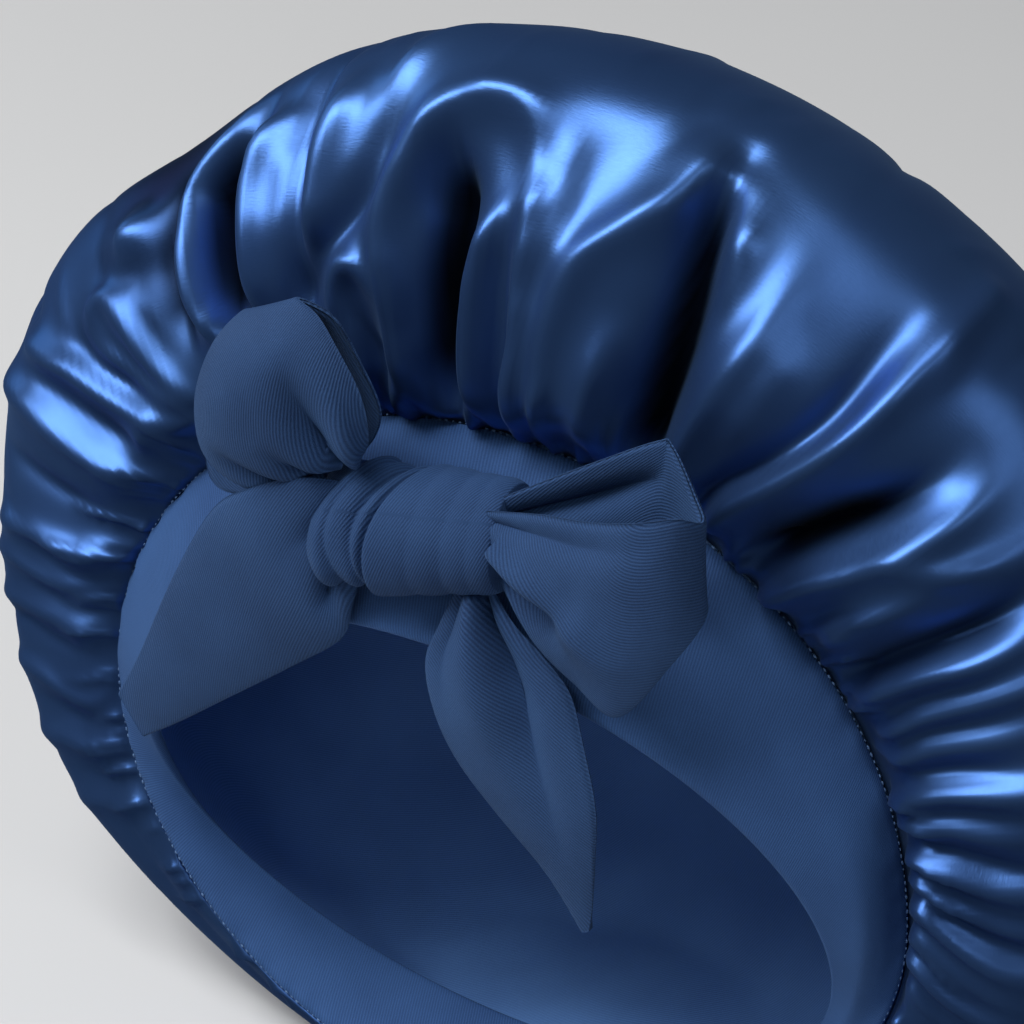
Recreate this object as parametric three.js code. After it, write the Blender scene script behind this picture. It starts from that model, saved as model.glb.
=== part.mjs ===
// A large adult sleep bonnet of satin, lying on its underside with the face opening forward (-Y).
// A doubled cloth band runs round the opening, the gathered crown puffs out behind its seam, a
// plain lining shows through the opening, and a soft bow is tied at the top of the band.
// Millimetres, +Z up. Angles run from +X, the right-hand side as seen from the front, up over the top.
import * as THREE from "three";

// Where the middle of the opening stands over the floor, in the part's frame.
const OPENING = { x: 0, y: -50.5, z: 0 };

// The folded edge of the band, and the gathered seam where the crown joins it.
// lean tips the top of a ring backwards, in degrees.
const RIM = { x: 0, y: 0, z: 84, halfWidth: 95, halfHeight: 70, lean: -16 };
const SEAM = { x: 1, y: 4.4, z: 96, halfWidth: 108, halfHeight: 90.8, lean: 4.9 };

const BAND_THICKNESS = 3;
const BAND_CROWNING = 1.6; // how far the middle of the band stands proud of its edges
const CROWN_THICKNESS = 1.5;
const LINING_THICKNESS = 1.2;
const RIBBON_THICKNESS = 2.4; // two layers of the band's cloth
const PIECE_GAP = 0.4;
const LINING_FLOOR = 2.2; // the lining's underside clears the crown's flattened wall
const FLOOR_BLEND = 3; // height over which a wall turns onto the floor

const CROWN_STEPS = { around: 96, along: 14 };
const LINING_STEPS = { around: 48, along: 10 };
const BAND_STEPS_AROUND = 72;
const RIBBON_STEPS = { along: 12, across: 4 };

// Rings of the crown from the seam to the back.
const CROWN_RINGS = [
  { name: "lip", y: 3, z: 104, halfWidth: 122, halfHeight: 103, lean: 0.5 },
  { name: "puff", y: 11, z: 115, halfWidth: 147, halfHeight: 122, lean: 0 },
  { name: "widest", y: 39.5, z: 128, halfWidth: 160, halfHeight: 136, lean: 0 },
  { name: "shoulder", y: 80, z: 122, halfWidth: 146, halfHeight: 130, lean: 0 },
  { name: "back", y: 110, z: 116, halfWidth: 110, halfHeight: 105, lean: 0 },
  { name: "near the end", y: 128, z: 118, halfWidth: 63, halfHeight: 63, lean: 0 },
];
const CROWN_END = { x: 0, y: 135.5, z: 118 };

// Rings of the lining, behind its own edge at the rim.
const LINING_RINGS = [
  { name: "throat", y: 17, z: 89, halfWidth: 112, halfHeight: 83, lean: -4.8 },
  { name: "belly", y: 48, z: 123, halfWidth: 144, halfHeight: 128, lean: 0 },
  { name: "shoulder", y: 80, z: 118, halfWidth: 130, halfHeight: 118, lean: 0 },
  { name: "back", y: 103, z: 114, halfWidth: 95, halfHeight: 90, lean: 0 },
  { name: "near the end", y: 117, z: 116, halfWidth: 52, halfHeight: 50, lean: 0 },
];
const LINING_END = { x: 0, y: 123, z: 116 };

// Main folds of the crown: the angle where each starts at the seam, how far it drifts on its way
// back, half its width (degrees), its height (mm, a dent below zero), and its reach from the seam
// (0) towards the end of the crown (1).
const CROWN_FOLDS = [
  { angle: 4, drift: 6, width: 7, height: 6, reach: 0.5 },
  { angle: 18, drift: 4, width: 6, height: 6, reach: 0.55 },
  { angle: 28, drift: 4, width: 4, height: -6, reach: 0.5 },
  { angle: 39, drift: 2, width: 7, height: 7, reach: 0.6 },
  { angle: 51, drift: -2, width: 4, height: -7, reach: 0.6 },
  { angle: 63, drift: -4, width: 9, height: 7, reach: 0.6 },
  { angle: 77, drift: -2, width: 3.5, height: -4, reach: 0.45 },
  { angle: 84, drift: 0, width: 5, height: 6, reach: 0.5 },
  { angle: 93, drift: 2, width: 4, height: -7, reach: 0.5 },
  { angle: 102, drift: 4, width: 5, height: 6, reach: 0.55 },
  { angle: 113, drift: 6, width: 4, height: -5, reach: 0.6 },
  { angle: 124, drift: 6, width: 6, height: 6, reach: 0.65 },
  { angle: 138, drift: 4, width: 5, height: -6, reach: 0.6 },
  { angle: 150, drift: 2, width: 6, height: 6, reach: 0.55 },
  { angle: 163, drift: -2, width: 4, height: -5, reach: 0.5 },
  { angle: 174, drift: -4, width: 6, height: 5, reach: 0.55 },
  { angle: 187, drift: -4, width: 4, height: -5, reach: 0.5 },
  { angle: 199, drift: -6, width: 6, height: 5, reach: 0.5 },
  { angle: 213, drift: -6, width: 5, height: -4, reach: 0.45 },
  { angle: 327, drift: 4, width: 5, height: -4, reach: 0.45 },
  { angle: 340, drift: 4, width: 6, height: 5, reach: 0.5 },
  { angle: 352, drift: 6, width: 4, height: -5, reach: 0.5 },
];
const FOLD_START = 0.12; // a fold has grown to its full height this far from the seam

// How the crown has slumped: broad rises and hollows, each round an angle (degrees, with half its
// width) and round a place between the seam (0) and the end (1).
const CROWN_SLUMPS = [
  { name: "hollow over the left ear", angle: 133, width: 15, along: 0.45, extent: 0.25, height: -8 },
  { name: "rise at the top", angle: 86, width: 22, along: 0.5, extent: 0.25, height: 3 },
  { name: "left cheek", angle: 210, width: 18, along: 0.36, extent: 0.2, height: 4 },
];

// The bow's knot: its middle, half its length along X, and its sections in the plane that leans
// with the band. side runs from the left end (-1) to the right end (1).
const KNOT = { x: -4, y: -18, z: 176, halfLength: 19.5, lean: 42.5, turn: -10 };
const KNOT_SECTIONS = [
  { side: -1, halfHeight: 10.5, halfDepth: 7.5 },
  { side: -0.85, halfHeight: 14, halfDepth: 9.5 },
  { side: -0.3, halfHeight: 15.5, halfDepth: 10.5 },
  { side: 0.35, halfHeight: 15, halfDepth: 10.5 },
  { side: 0.85, halfHeight: 14, halfDepth: 9.8 },
  { side: 1, halfHeight: 11, halfDepth: 8 },
];
const KNOT_STEPS_AROUND = 28;
const KNOT_PLEATS = 9;
const KNOT_PLEAT_DEPTH = 0.5;

// Sections of the bow's ribbons from the knot outwards, and round the fold and back again where
// the ribbon is a loop: the middle of the straight section, the vector from there to its edge, and
// how far the cloth's middle puffs out of that line.
const LEFT_LOOP = [
  { x: -24.5, y: -24, z: 184, edgeX: -3, edgeY: 0, edgeZ: -5, puffX: 0, puffY: -1, puffZ: 1 },
  { x: -31, y: -27, z: 189, edgeX: -16, edgeY: 1, edgeZ: -9, puffX: 0, puffY: -4, puffZ: 0 },
  { x: -36, y: -26, z: 199, edgeX: -22, edgeY: 2, edgeZ: -8, puffX: 0, puffY: -5, puffZ: 4 },
  { x: -37, y: -18, z: 208, edgeX: -20, edgeY: 2, edgeZ: -6, puffX: 0, puffY: 0, puffZ: 13 },
  { x: -35, y: -13, z: 202, edgeX: -19, edgeY: 2, edgeZ: -6, puffX: 0, puffY: 2, puffZ: 6 },
  { x: -30, y: -13, z: 193, edgeX: -12, edgeY: 2, edgeZ: -7, puffX: 0, puffY: 1, puffZ: 0 },
  { x: -24.5, y: -15, z: 187, edgeX: -3, edgeY: 0, edgeZ: -5, puffX: 0, puffY: 0, puffZ: 0 },
];
const RIGHT_LOOP = [
  { x: 17, y: -27, z: 181, edgeX: 0, edgeY: 0, edgeZ: -9, puffX: 0, puffY: -1, puffZ: 0 },
  { x: 35, y: -30, z: 181, edgeX: -1, edgeY: -1, edgeZ: -21, puffX: 0, puffY: -3, puffZ: 0 },
  { x: 52, y: -28, z: 183, edgeX: -3, edgeY: -3, edgeZ: -31, puffX: 2, puffY: -3, puffZ: 0 },
  { x: 61, y: -22, z: 185, edgeX: -4, edgeY: -5, edgeZ: -32, puffX: 7, puffY: 0, puffZ: 0 },
  { x: 54, y: -15, z: 185, edgeX: -3, edgeY: -5, edgeZ: -28, puffX: 2, puffY: 2, puffZ: 0 },
  { x: 36, y: -16, z: 184, edgeX: -2, edgeY: -5, edgeZ: -16, puffX: 0, puffY: 1, puffZ: 0 },
  { x: 17, y: -18, z: 183, edgeX: 0, edgeY: 0, edgeZ: -7, puffX: 0, puffY: 0, puffZ: 0 },
];
const LEFT_TAIL = [
  { x: -25.5, y: -22, z: 168, edgeX: 4, edgeY: 0, edgeZ: -8, puffX: 0, puffY: -1, puffZ: 0 },
  { x: -32, y: -25, z: 161, edgeX: 13, edgeY: 0, edgeZ: -14, puffX: 0, puffY: -3, puffZ: 0 },
  { x: -42, y: -26, z: 150, edgeX: 14, edgeY: 0, edgeZ: -13, puffX: 0, puffY: -4, puffZ: 0 },
  { x: -57, y: -26, z: 134, edgeX: 12, edgeY: 0, edgeZ: -10, puffX: 0, puffY: -3, puffZ: 0 },
  { x: -70, y: -26, z: 118, edgeX: 8, edgeY: 0, edgeZ: -6, puffX: 0, puffY: -1, puffZ: 0 },
  { x: -80, y: -26, z: 106, edgeX: 3, edgeY: 0, edgeZ: -5, puffX: 0, puffY: 0, puffZ: 0 },
];
const RIGHT_TAIL = [
  { x: 15, y: -24, z: 160, edgeX: 9, edgeY: 0, edgeZ: 2, puffX: 0, puffY: -1, puffZ: 0 },
  { x: 20, y: -26, z: 154, edgeX: 15, edgeY: 0, edgeZ: 3, puffX: 0, puffY: -3, puffZ: 0 },
  { x: 24, y: -27, z: 144, edgeX: 18, edgeY: 0, edgeZ: 5, puffX: 0, puffY: -4, puffZ: 0 },
  { x: 29, y: -27, z: 128, edgeX: 17, edgeY: 0, edgeZ: 4, puffX: 0, puffY: -3, puffZ: 0 },
  { x: 37, y: -26, z: 112, edgeX: 12, edgeY: 0, edgeZ: 3, puffX: 0, puffY: -2, puffZ: 0 },
  { x: 46, y: -26, z: 92, edgeX: 1.5, edgeY: 0, edgeZ: 1, puffX: 0, puffY: 0, puffZ: 0 },
];

const SATIN = { color: 0x17366f, roughness: 0.3, metalness: 0.4 };
const TWILL = { color: 0x284674, roughness: 0.85, metalness: 0 };
const LINING_CLOTH = { color: 0x203f6c, roughness: 0.9, metalness: 0 };

const FULL_TURN = 2 * Math.PI;
const radians = THREE.MathUtils.degToRad;
const vector = ({ x, y, z }) => new THREE.Vector3(x, y, z);
const angleOf = (step, steps) => (FULL_TURN * step) / steps;

function onRing(ring, angle) {
  const rise = ring.halfHeight * Math.sin(angle);
  return new THREE.Vector3(
    (ring.x ?? 0) + ring.halfWidth * Math.cos(angle),
    ring.y + rise * Math.sin(radians(ring.lean)),
    ring.z + rise * Math.cos(radians(ring.lean)),
  );
}

// The band's frame at an angle: its edges, the way from the rim to the seam, and the way out.
function bandFrame(angle) {
  const rim = onRing(RIM, angle);
  const seam = onRing(SEAM, angle);
  const step = 0.01;
  const tangent = onRing(RIM, angle + step)
    .add(onRing(SEAM, angle + step))
    .sub(rim)
    .sub(seam);
  const across = seam.clone().sub(rim);
  const width = across.length();
  across.normalize();
  const out = new THREE.Vector3().crossVectors(across, tangent).normalize();
  return { rim, width, across, out };
}

function onBand(angle, along, height) {
  const { rim, width, across, out } = bandFrame(angle);
  const place = along * width;
  const crowning = BAND_CROWNING * Math.sin(Math.PI * THREE.MathUtils.clamp(along, 0, 1));
  return rim.addScaledVector(across, place).addScaledVector(out, height + crowning);
}

// Rounds what would sink below a level onto that level.
function settle(height, level) {
  const over = height - level;
  if (over >= FLOOR_BLEND) return height;
  if (over <= -FLOOR_BLEND) return level;
  return level + (over + FLOOR_BLEND) ** 2 / (4 * FLOOR_BLEND);
}

// A net of points over rings: one row for each step back, one point for each step round.
function netOverRings(firstPoint, rings, end, steps, level) {
  const rows = [];
  for (let j = 0; j < steps.along; j++) rows.push([]);
  for (let i = 0; i < steps.around; i++) {
    const angle = angleOf(i, steps.around);
    const stations = rings.map((ring) => onRing(ring, angle));
    const route = new THREE.CatmullRomCurve3([firstPoint(angle), ...stations, vector(end)]);
    for (let j = 0; j < steps.along; j++) {
      const point = route.getPoint(j / steps.along);
      point.z = settle(point.z, level);
      rows[j].push(point);
    }
  }
  return { rows, end: vector(end) };
}

// The outward normal of a net at a point, from its neighbours.
function netNormal(net, j, i) {
  const { rows, end } = net;
  const around = rows[j].length;
  const before = rows[Math.max(j - 1, 0)][i];
  const after = j + 1 < rows.length ? rows[j + 1][i] : end;
  const back = after.clone().sub(before);
  const round = rows[j][(i + 1) % around].clone().sub(rows[j][(i + around - 1) % around]);
  return back.cross(round).normalize();
}

// The net moved along its normals by distance(j, i), kept on or over a level.
function offsetNet(net, distance, level) {
  const rows = net.rows.map((row, j) =>
    row.map((point, i) => {
      const moved = point.clone().addScaledVector(netNormal(net, j, i), distance(j, i));
      moved.z = Math.max(moved.z, level);
      return moved;
    }),
  );
  const end = net.end.clone();
  end.y += distance(net.rows.length, 0);
  return { rows, end };
}

function geometryOf(points, faces) {
  const geometry = new THREE.BufferGeometry();
  geometry.setAttribute(
    "position",
    new THREE.Float32BufferAttribute(points.flatMap((p) => [p.x, p.y, p.z]), 3),
  );
  geometry.setIndex(faces.flat());
  geometry.computeVertexNormals();
  return geometry;
}

// A bag with a wall between an outer and an inner net, open at the first row.
function bagGeometry(outer, inner) {
  const around = outer.rows[0].length;
  const count = outer.rows.length;
  const points = [...outer.rows.flat(), outer.end, ...inner.rows.flat(), inner.end];
  const innerStart = around * count + 1;
  const faces = [];
  for (let i = 0; i < around; i++) {
    const next = (i + 1) % around;
    for (let j = 0; j + 1 < count; j++) {
      const [a, b, c, d] = [j * around + i, (j + 1) * around + i, (j + 1) * around + next, j * around + next];
      faces.push([a, b, c], [a, c, d]);
      faces.push([innerStart + a, innerStart + c, innerStart + b]);
      faces.push([innerStart + a, innerStart + d, innerStart + c]);
    }
    const last = (count - 1) * around;
    faces.push([last + i, innerStart - 1, last + next]);
    faces.push([innerStart + last + i, innerStart + last + next, points.length - 1]);
    faces.push([i, next, innerStart + next], [i, innerStart + next, innerStart + i]);
  }
  return geometryOf(points, faces);
}

// A solid between closed sections that all hold the same number of points, either joined round
// into a ring or closed at both ends with a fan.
function loftGeometry(sections, joinedRound) {
  const size = sections[0].length;
  const points = sections.flat();
  const faces = [];
  const spans = joinedRound ? sections.length : sections.length - 1;
  for (let j = 0; j < spans; j++) {
    const here = j * size;
    const there = ((j + 1) % sections.length) * size;
    for (let k = 0; k < size; k++) {
      const next = (k + 1) % size;
      faces.push([here + k, there + k, there + next], [here + k, there + next, here + next]);
    }
  }
  if (!joinedRound) {
    const last = (sections.length - 1) * size;
    for (let k = 1; k + 1 < size; k++) {
      faces.push([0, k, k + 1], [last, last + k + 1, last + k]);
    }
  }
  return geometryOf(points, faces);
}

function foldHeight(angle, along) {
  let total = 0;
  for (const fold of CROWN_FOLDS) {
    const centre = fold.angle + fold.drift * along;
    const away = THREE.MathUtils.euclideanModulo(angle - centre + 180, 360) - 180;
    const grown = THREE.MathUtils.smoothstep(along, 0, FOLD_START);
    const fading = 1 - THREE.MathUtils.smoothstep(along, 0.5 * fold.reach, fold.reach);
    total += fold.height * grown * fading * Math.exp(-((away / fold.width) ** 2));
  }
  for (const slump of CROWN_SLUMPS) {
    const away = THREE.MathUtils.euclideanModulo(angle - slump.angle + 180, 360) - 180;
    const reach = (away / slump.width) ** 2 + ((along - slump.along) / slump.extent) ** 2;
    total += slump.height * Math.exp(-reach);
  }
  return total;
}

function crownGeometry() {
  const start = (angle) => {
    const { width } = bandFrame(angle);
    return onBand(angle, 1 + (PIECE_GAP + CROWN_THICKNESS) / width, -CROWN_THICKNESS);
  };
  const plain = netOverRings(start, CROWN_RINGS, CROWN_END, CROWN_STEPS, 0);
  const { around, along } = CROWN_STEPS;
  const outer = offsetNet(plain, (j, i) => foldHeight((360 * i) / around, j / along), 0);
  const inner = offsetNet(outer, () => -CROWN_THICKNESS, CROWN_THICKNESS);
  return bagGeometry(outer, inner);
}

function liningGeometry() {
  const behind = BAND_THICKNESS / 2 + PIECE_GAP;
  const start = (angle) => {
    const { width } = bandFrame(angle);
    return onBand(angle, 2 / width, -behind - LINING_THICKNESS);
  };
  const inner = netOverRings(start, LINING_RINGS, LINING_END, LINING_STEPS, LINING_FLOOR + LINING_THICKNESS);
  const outer = offsetNet(inner, () => LINING_THICKNESS, LINING_FLOOR);
  return bagGeometry(outer, inner);
}

// The band's section: its inner face from rim to seam, its outer face back, and the folded edge.
function bandGeometry() {
  const half = BAND_THICKNESS / 2;
  const section = (angle) => {
    const { width } = bandFrame(angle);
    const face = [0, 0.33, 0.67, 1 - PIECE_GAP / width];
    const inner = face.map((along) => onBand(angle, along, -half));
    const outer = face.toReversed().map((along) => onBand(angle, along, half));
    const edge = [135, 180, -135].map((turn) =>
      onBand(angle, (half * Math.cos(radians(turn))) / width, half * Math.sin(radians(turn))),
    );
    return [...inner, ...outer, ...edge];
  };
  const sections = [];
  for (let i = 0; i < BAND_STEPS_AROUND; i++) {
    sections.push(section(angleOf(i, BAND_STEPS_AROUND)));
  }
  return loftGeometry(sections, true);
}

// The knot: a pleated barrel along X, in its own frame with the depth along Y.
function knotGeometry() {
  const sections = KNOT_SECTIONS.map(({ side, halfHeight, halfDepth }) => {
    const ring = [];
    for (let k = 0; k < KNOT_STEPS_AROUND; k++) {
      const angle = angleOf(k, KNOT_STEPS_AROUND);
      const pleat = 1 - (KNOT_PLEAT_DEPTH / halfDepth) * Math.cos(KNOT_PLEATS * angle);
      ring.push(
        new THREE.Vector3(
          side * KNOT.halfLength,
          -halfDepth * pleat * Math.cos(angle),
          halfHeight * pleat * Math.sin(angle),
        ),
      );
    }
    return ring;
  });
  return loftGeometry(sections, false);
}

// A ribbon with a wall, swept through its sections.
function ribbonGeometry(rows) {
  const curve = (points) => new THREE.CatmullRomCurve3(points);
  const middle = curve(rows.map(vector));
  const edges = curve(rows.map((row) => new THREE.Vector3(row.edgeX, row.edgeY, row.edgeZ)));
  const puffs = curve(rows.map((row) => new THREE.Vector3(row.puffX, row.puffY, row.puffZ)));
  const { along, across } = RIBBON_STEPS;
  const sections = [];
  for (let j = 0; j <= along; j++) {
    const centre = middle.getPoint(j / along);
    const edge = edges.getPoint(j / along);
    const puff = puffs.getPoint(j / along);
    const out = middle.getTangent(j / along).cross(edge).normalize();
    const face = (side) => {
      const line = [];
      for (let k = 0; k <= across; k++) {
        const place = (2 * k) / across - 1;
        const point = centre.clone().addScaledVector(edge, place * side);
        point.addScaledVector(puff, 1 - place ** 2);
        line.push(point.addScaledVector(out, (side * RIBBON_THICKNESS) / 2));
      }
      return line;
    };
    sections.push([...face(1), ...face(-1)]);
  }
  return loftGeometry(sections, false);
}

function piece(name, geometry, look) {
  const mesh = new THREE.Mesh(geometry, new THREE.MeshStandardMaterial(look));
  mesh.name = name;
  return mesh;
}

const bonnet = new THREE.Group();
bonnet.position.copy(vector(OPENING));
bonnet.add(piece("crown", crownGeometry(), SATIN));
bonnet.add(piece("lining", liningGeometry(), LINING_CLOTH));
bonnet.add(piece("band", bandGeometry(), TWILL));

const knot = piece("bow_knot", knotGeometry(), TWILL);
knot.position.set(KNOT.x, KNOT.y, KNOT.z);
knot.rotation.set(-radians(KNOT.lean), radians(KNOT.turn), 0);
bonnet.add(knot);

bonnet.add(piece("bow_loop_left", ribbonGeometry(LEFT_LOOP), TWILL));
bonnet.add(piece("bow_loop_right", ribbonGeometry(RIGHT_LOOP), TWILL));
bonnet.add(piece("tie_tail_left", ribbonGeometry(LEFT_TAIL), TWILL));
bonnet.add(piece("tie_tail_right", ribbonGeometry(RIGHT_TAIL), TWILL));

const group = new THREE.Group();
group.add(bonnet);
export default group;
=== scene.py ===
import math

import bmesh
import bpy
import numpy as np
from mathutils import Matrix, Vector


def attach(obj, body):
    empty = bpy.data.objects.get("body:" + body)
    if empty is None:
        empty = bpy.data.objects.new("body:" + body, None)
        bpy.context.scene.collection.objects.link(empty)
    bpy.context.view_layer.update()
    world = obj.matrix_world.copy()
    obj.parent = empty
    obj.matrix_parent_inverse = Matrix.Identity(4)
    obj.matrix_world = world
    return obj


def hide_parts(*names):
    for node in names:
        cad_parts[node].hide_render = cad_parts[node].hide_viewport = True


# A sleep bonnet: a gathered satin crown, a doubled twill band round the face opening, a plain
# lining and a tied bow. Shapes are worked out in millimetres from the middle of the opening, with
# X to the right as seen from the front, Y to the back and Z up from the floor. Angles run in
# degrees from +X up over the top, and "along" runs from a piece's front edge (0) to its end (1).
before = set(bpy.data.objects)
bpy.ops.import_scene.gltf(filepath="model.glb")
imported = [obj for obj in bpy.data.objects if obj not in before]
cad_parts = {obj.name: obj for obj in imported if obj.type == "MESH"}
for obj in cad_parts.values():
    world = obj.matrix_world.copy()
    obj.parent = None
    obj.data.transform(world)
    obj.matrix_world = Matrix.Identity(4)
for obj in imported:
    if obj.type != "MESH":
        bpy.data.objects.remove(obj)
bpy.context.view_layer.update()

METRES = 0.001
OPENING = np.array([0.0, -50.5, 0.0])  # the middle of the opening in the part's frame
UV_SIZE = 100.0  # millimetres of cloth to one UV unit

# ---------------------------------------------------------------- driving dimensions

RIM = {"x": 0, "y": 0, "z": 84, "half_width": 95, "half_height": 70, "lean": -16}
SEAM = {"x": 1, "y": 4.4, "z": 96, "half_width": 108, "half_height": 90.8, "lean": 4.9}

CROWN_RINGS = [
    {"x": 0, "y": 3, "z": 104, "half_width": 122, "half_height": 103, "lean": 0.5},
    {"x": 0, "y": 11, "z": 115, "half_width": 147, "half_height": 122, "lean": 0},
    {"x": 0, "y": 39.5, "z": 128, "half_width": 160, "half_height": 136, "lean": 0},
    {"x": 0, "y": 80, "z": 122, "half_width": 146, "half_height": 130, "lean": 0},
    {"x": 0, "y": 110, "z": 116, "half_width": 110, "half_height": 105, "lean": 0},
    {"x": 0, "y": 128, "z": 118, "half_width": 63, "half_height": 63, "lean": 0},
]
CROWN_END = (0, 135.5, 118)

LINING_RINGS = [
    {"x": 0, "y": 17, "z": 89, "half_width": 112, "half_height": 83, "lean": -4.8},
    {"x": 0, "y": 48, "z": 123, "half_width": 144, "half_height": 128, "lean": 0},
    {"x": 0, "y": 80, "z": 118, "half_width": 130, "half_height": 118, "lean": 0},
    {"x": 0, "y": 103, "z": 114, "half_width": 95, "half_height": 90, "lean": 0},
    {"x": 0, "y": 117, "z": 116, "half_width": 52, "half_height": 50, "lean": 0},
]
LINING_END = (0, 123, 116)

BAND_THICKNESS = 3.0
BAND_CROWNING = 1.6  # how far the band's middle stands out between rim and seam
BAND_RIM_BULGE = 1.35  # how far the folded rim reaches, in half thicknesses
# The band's outer part turns away low on the right, where the crown's weight pulls it back.
BAND_BEND = {"angle": 2, "spread": 20, "from": 0.4, "depth": 9}
CROWN_THICKNESS = 1.0
LINING_THICKNESS = 1.0
LINING_CLEARANCE = 2.5  # between the crown and the lining where both lie on the floor
RIBBON_THICKNESS = 1.8
PIECE_GAP = 0.4
FLOOR_BLEND = 3.0  # the rise over which cloth rounds off on to the floor

CROWN_STEPS = {"front": 430, "under": 50, "along": 158, "inner_every": 2}
CROWN_FRONT_ANGLES = (-30, 222)  # the stretch that is drawn finely
CROWN_CLOTH_RADIUS = 140  # turns angles into lengths of cloth round the crown
FOLD_SHADE_DEPTHS = (0.8, 9)  # the depths (mm) between which a hollow's satin is darkened with painted shade
LINING_STEPS = {"around": 180, "along": 70}
LINING_CLOTH = {"radius": 110, "length": 230}  # turns angles and places into lengths of cloth
BAND_STEPS = {"around": 360, "face": 14, "edge": 8}


# ---------------------------------------------------------------- small helpers

def smoothstep(value, low, high):
    """Rises softly from 0 at low to 1 at high."""
    t = np.clip((value - low) / (high - low), 0, 1)
    return t * t * (3 - 2 * t)


def away_from(angles, middle):
    """How far angles lie from a middle one, in degrees from -180 to 180."""
    return (np.asarray(angles) - middle + 180) % 360 - 180


def unit(vectors):
    """The same vectors at length 1."""
    return vectors / (np.linalg.norm(vectors, axis=-1, keepdims=True) + 1e-12)


def ring_points(ring, angles):
    """Points of a leaning oval ring at angles in degrees."""
    turn = np.radians(angles)
    lean = math.radians(ring["lean"])
    rise = ring["half_height"] * np.sin(turn)
    x = ring["x"] + ring["half_width"] * np.cos(turn)
    return np.stack([x, ring["y"] + rise * math.sin(lean), ring["z"] + rise * math.cos(lean)], -1)


def extended(stations):
    """Stations with one more at each end, so that a curve reaches the first and the last."""
    first = 2 * stations[:1] - stations[1:2]
    last = 2 * stations[-1:] - stations[-2:-1]
    return np.concatenate([first, stations, last])


def span_places(places, spans):
    """The span in which each place from 0 to 1 lies, and how far along that span it is."""
    u = np.clip(np.asarray(places, float), 0, 1) * spans
    span = np.minimum(u.astype(int), spans - 1)
    return span, u - span


def catmull_rom(a, b, c, d, f):
    """The point a share f of the way from b to c."""
    return 0.5 * (
        2 * b + (c - a) * f + (2 * a - 5 * b + 4 * c - d) * f**2 + (3 * b - a - 3 * c + d) * f**3
    )


def spline(stations, places):
    """Curve through stations (count, ..., 3), read at places from 0 to 1."""
    stations = np.asarray(stations, float)
    s = extended(stations)
    k, f = span_places(places, len(stations) - 1)
    f = f.reshape((-1,) + (1,) * (stations.ndim - 1))
    return catmull_rom(s[k], s[k + 1], s[k + 2], s[k + 3], f)


def settle(height, level):
    """Rounds what would sink below a level onto that level."""
    over = height - level
    turned = level + (over + FLOOR_BLEND) ** 2 / (4 * FLOOR_BLEND)
    return np.where(over >= FLOOR_BLEND, height, np.where(over <= -FLOOR_BLEND, level, turned))


def shell_net(first_ring, rings, end, angles, places, level):
    """Rows of points from a first ring over further rings to an end point."""
    stations = [first_ring] + [ring_points(r, angles) for r in rings]
    stations.append(np.broadcast_to(np.array(end, float), stations[0].shape))
    net = spline(stations, places)
    net[..., 2] = settle(net[..., 2], level)
    return net


def net_normals(net):
    """Outward normals of a net whose rows run round and close on themselves."""
    back = np.gradient(net, axis=0)
    around = np.roll(net, -1, 1) - np.roll(net, 1, 1)
    return unit(np.cross(back, around))


def grid_faces(rows, columns, start=0, closed=True, flip=False):
    """Quads between neighbouring rows of points, closed round about or open at the sides."""
    faces = []
    for j in range(rows - 1):
        for i in range(columns if closed else columns - 1):
            n = (i + 1) % columns
            quad = (j * columns + i, j * columns + n, (j + 1) * columns + n, (j + 1) * columns + i)
            quad = tuple(start + v for v in quad)
            faces.append(quad[::-1] if flip else quad)
    return faces


def make_piece(name, points, faces, material, uv=None):
    """A mesh object in the part's frame, from points in millimetres."""
    mesh = bpy.data.meshes.new(name)
    mesh.from_pydata(((np.asarray(points) + OPENING) * METRES).tolist(), [], faces)
    mesh.materials.append(material)
    if uv is not None:
        layer = mesh.uv_layers.new(name="cloth")
        corners = np.zeros(len(mesh.loops), np.int32)
        mesh.loops.foreach_get("vertex_index", corners)
        layer.data.foreach_set("uv", (np.asarray(uv)[corners] / UV_SIZE).ravel())
    mesh.validate()
    mesh.shade_smooth()
    piece = bpy.data.objects.new(name, mesh)
    bpy.context.scene.collection.objects.link(piece)
    return piece


# ---------------------------------------------------------------- materials

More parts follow.
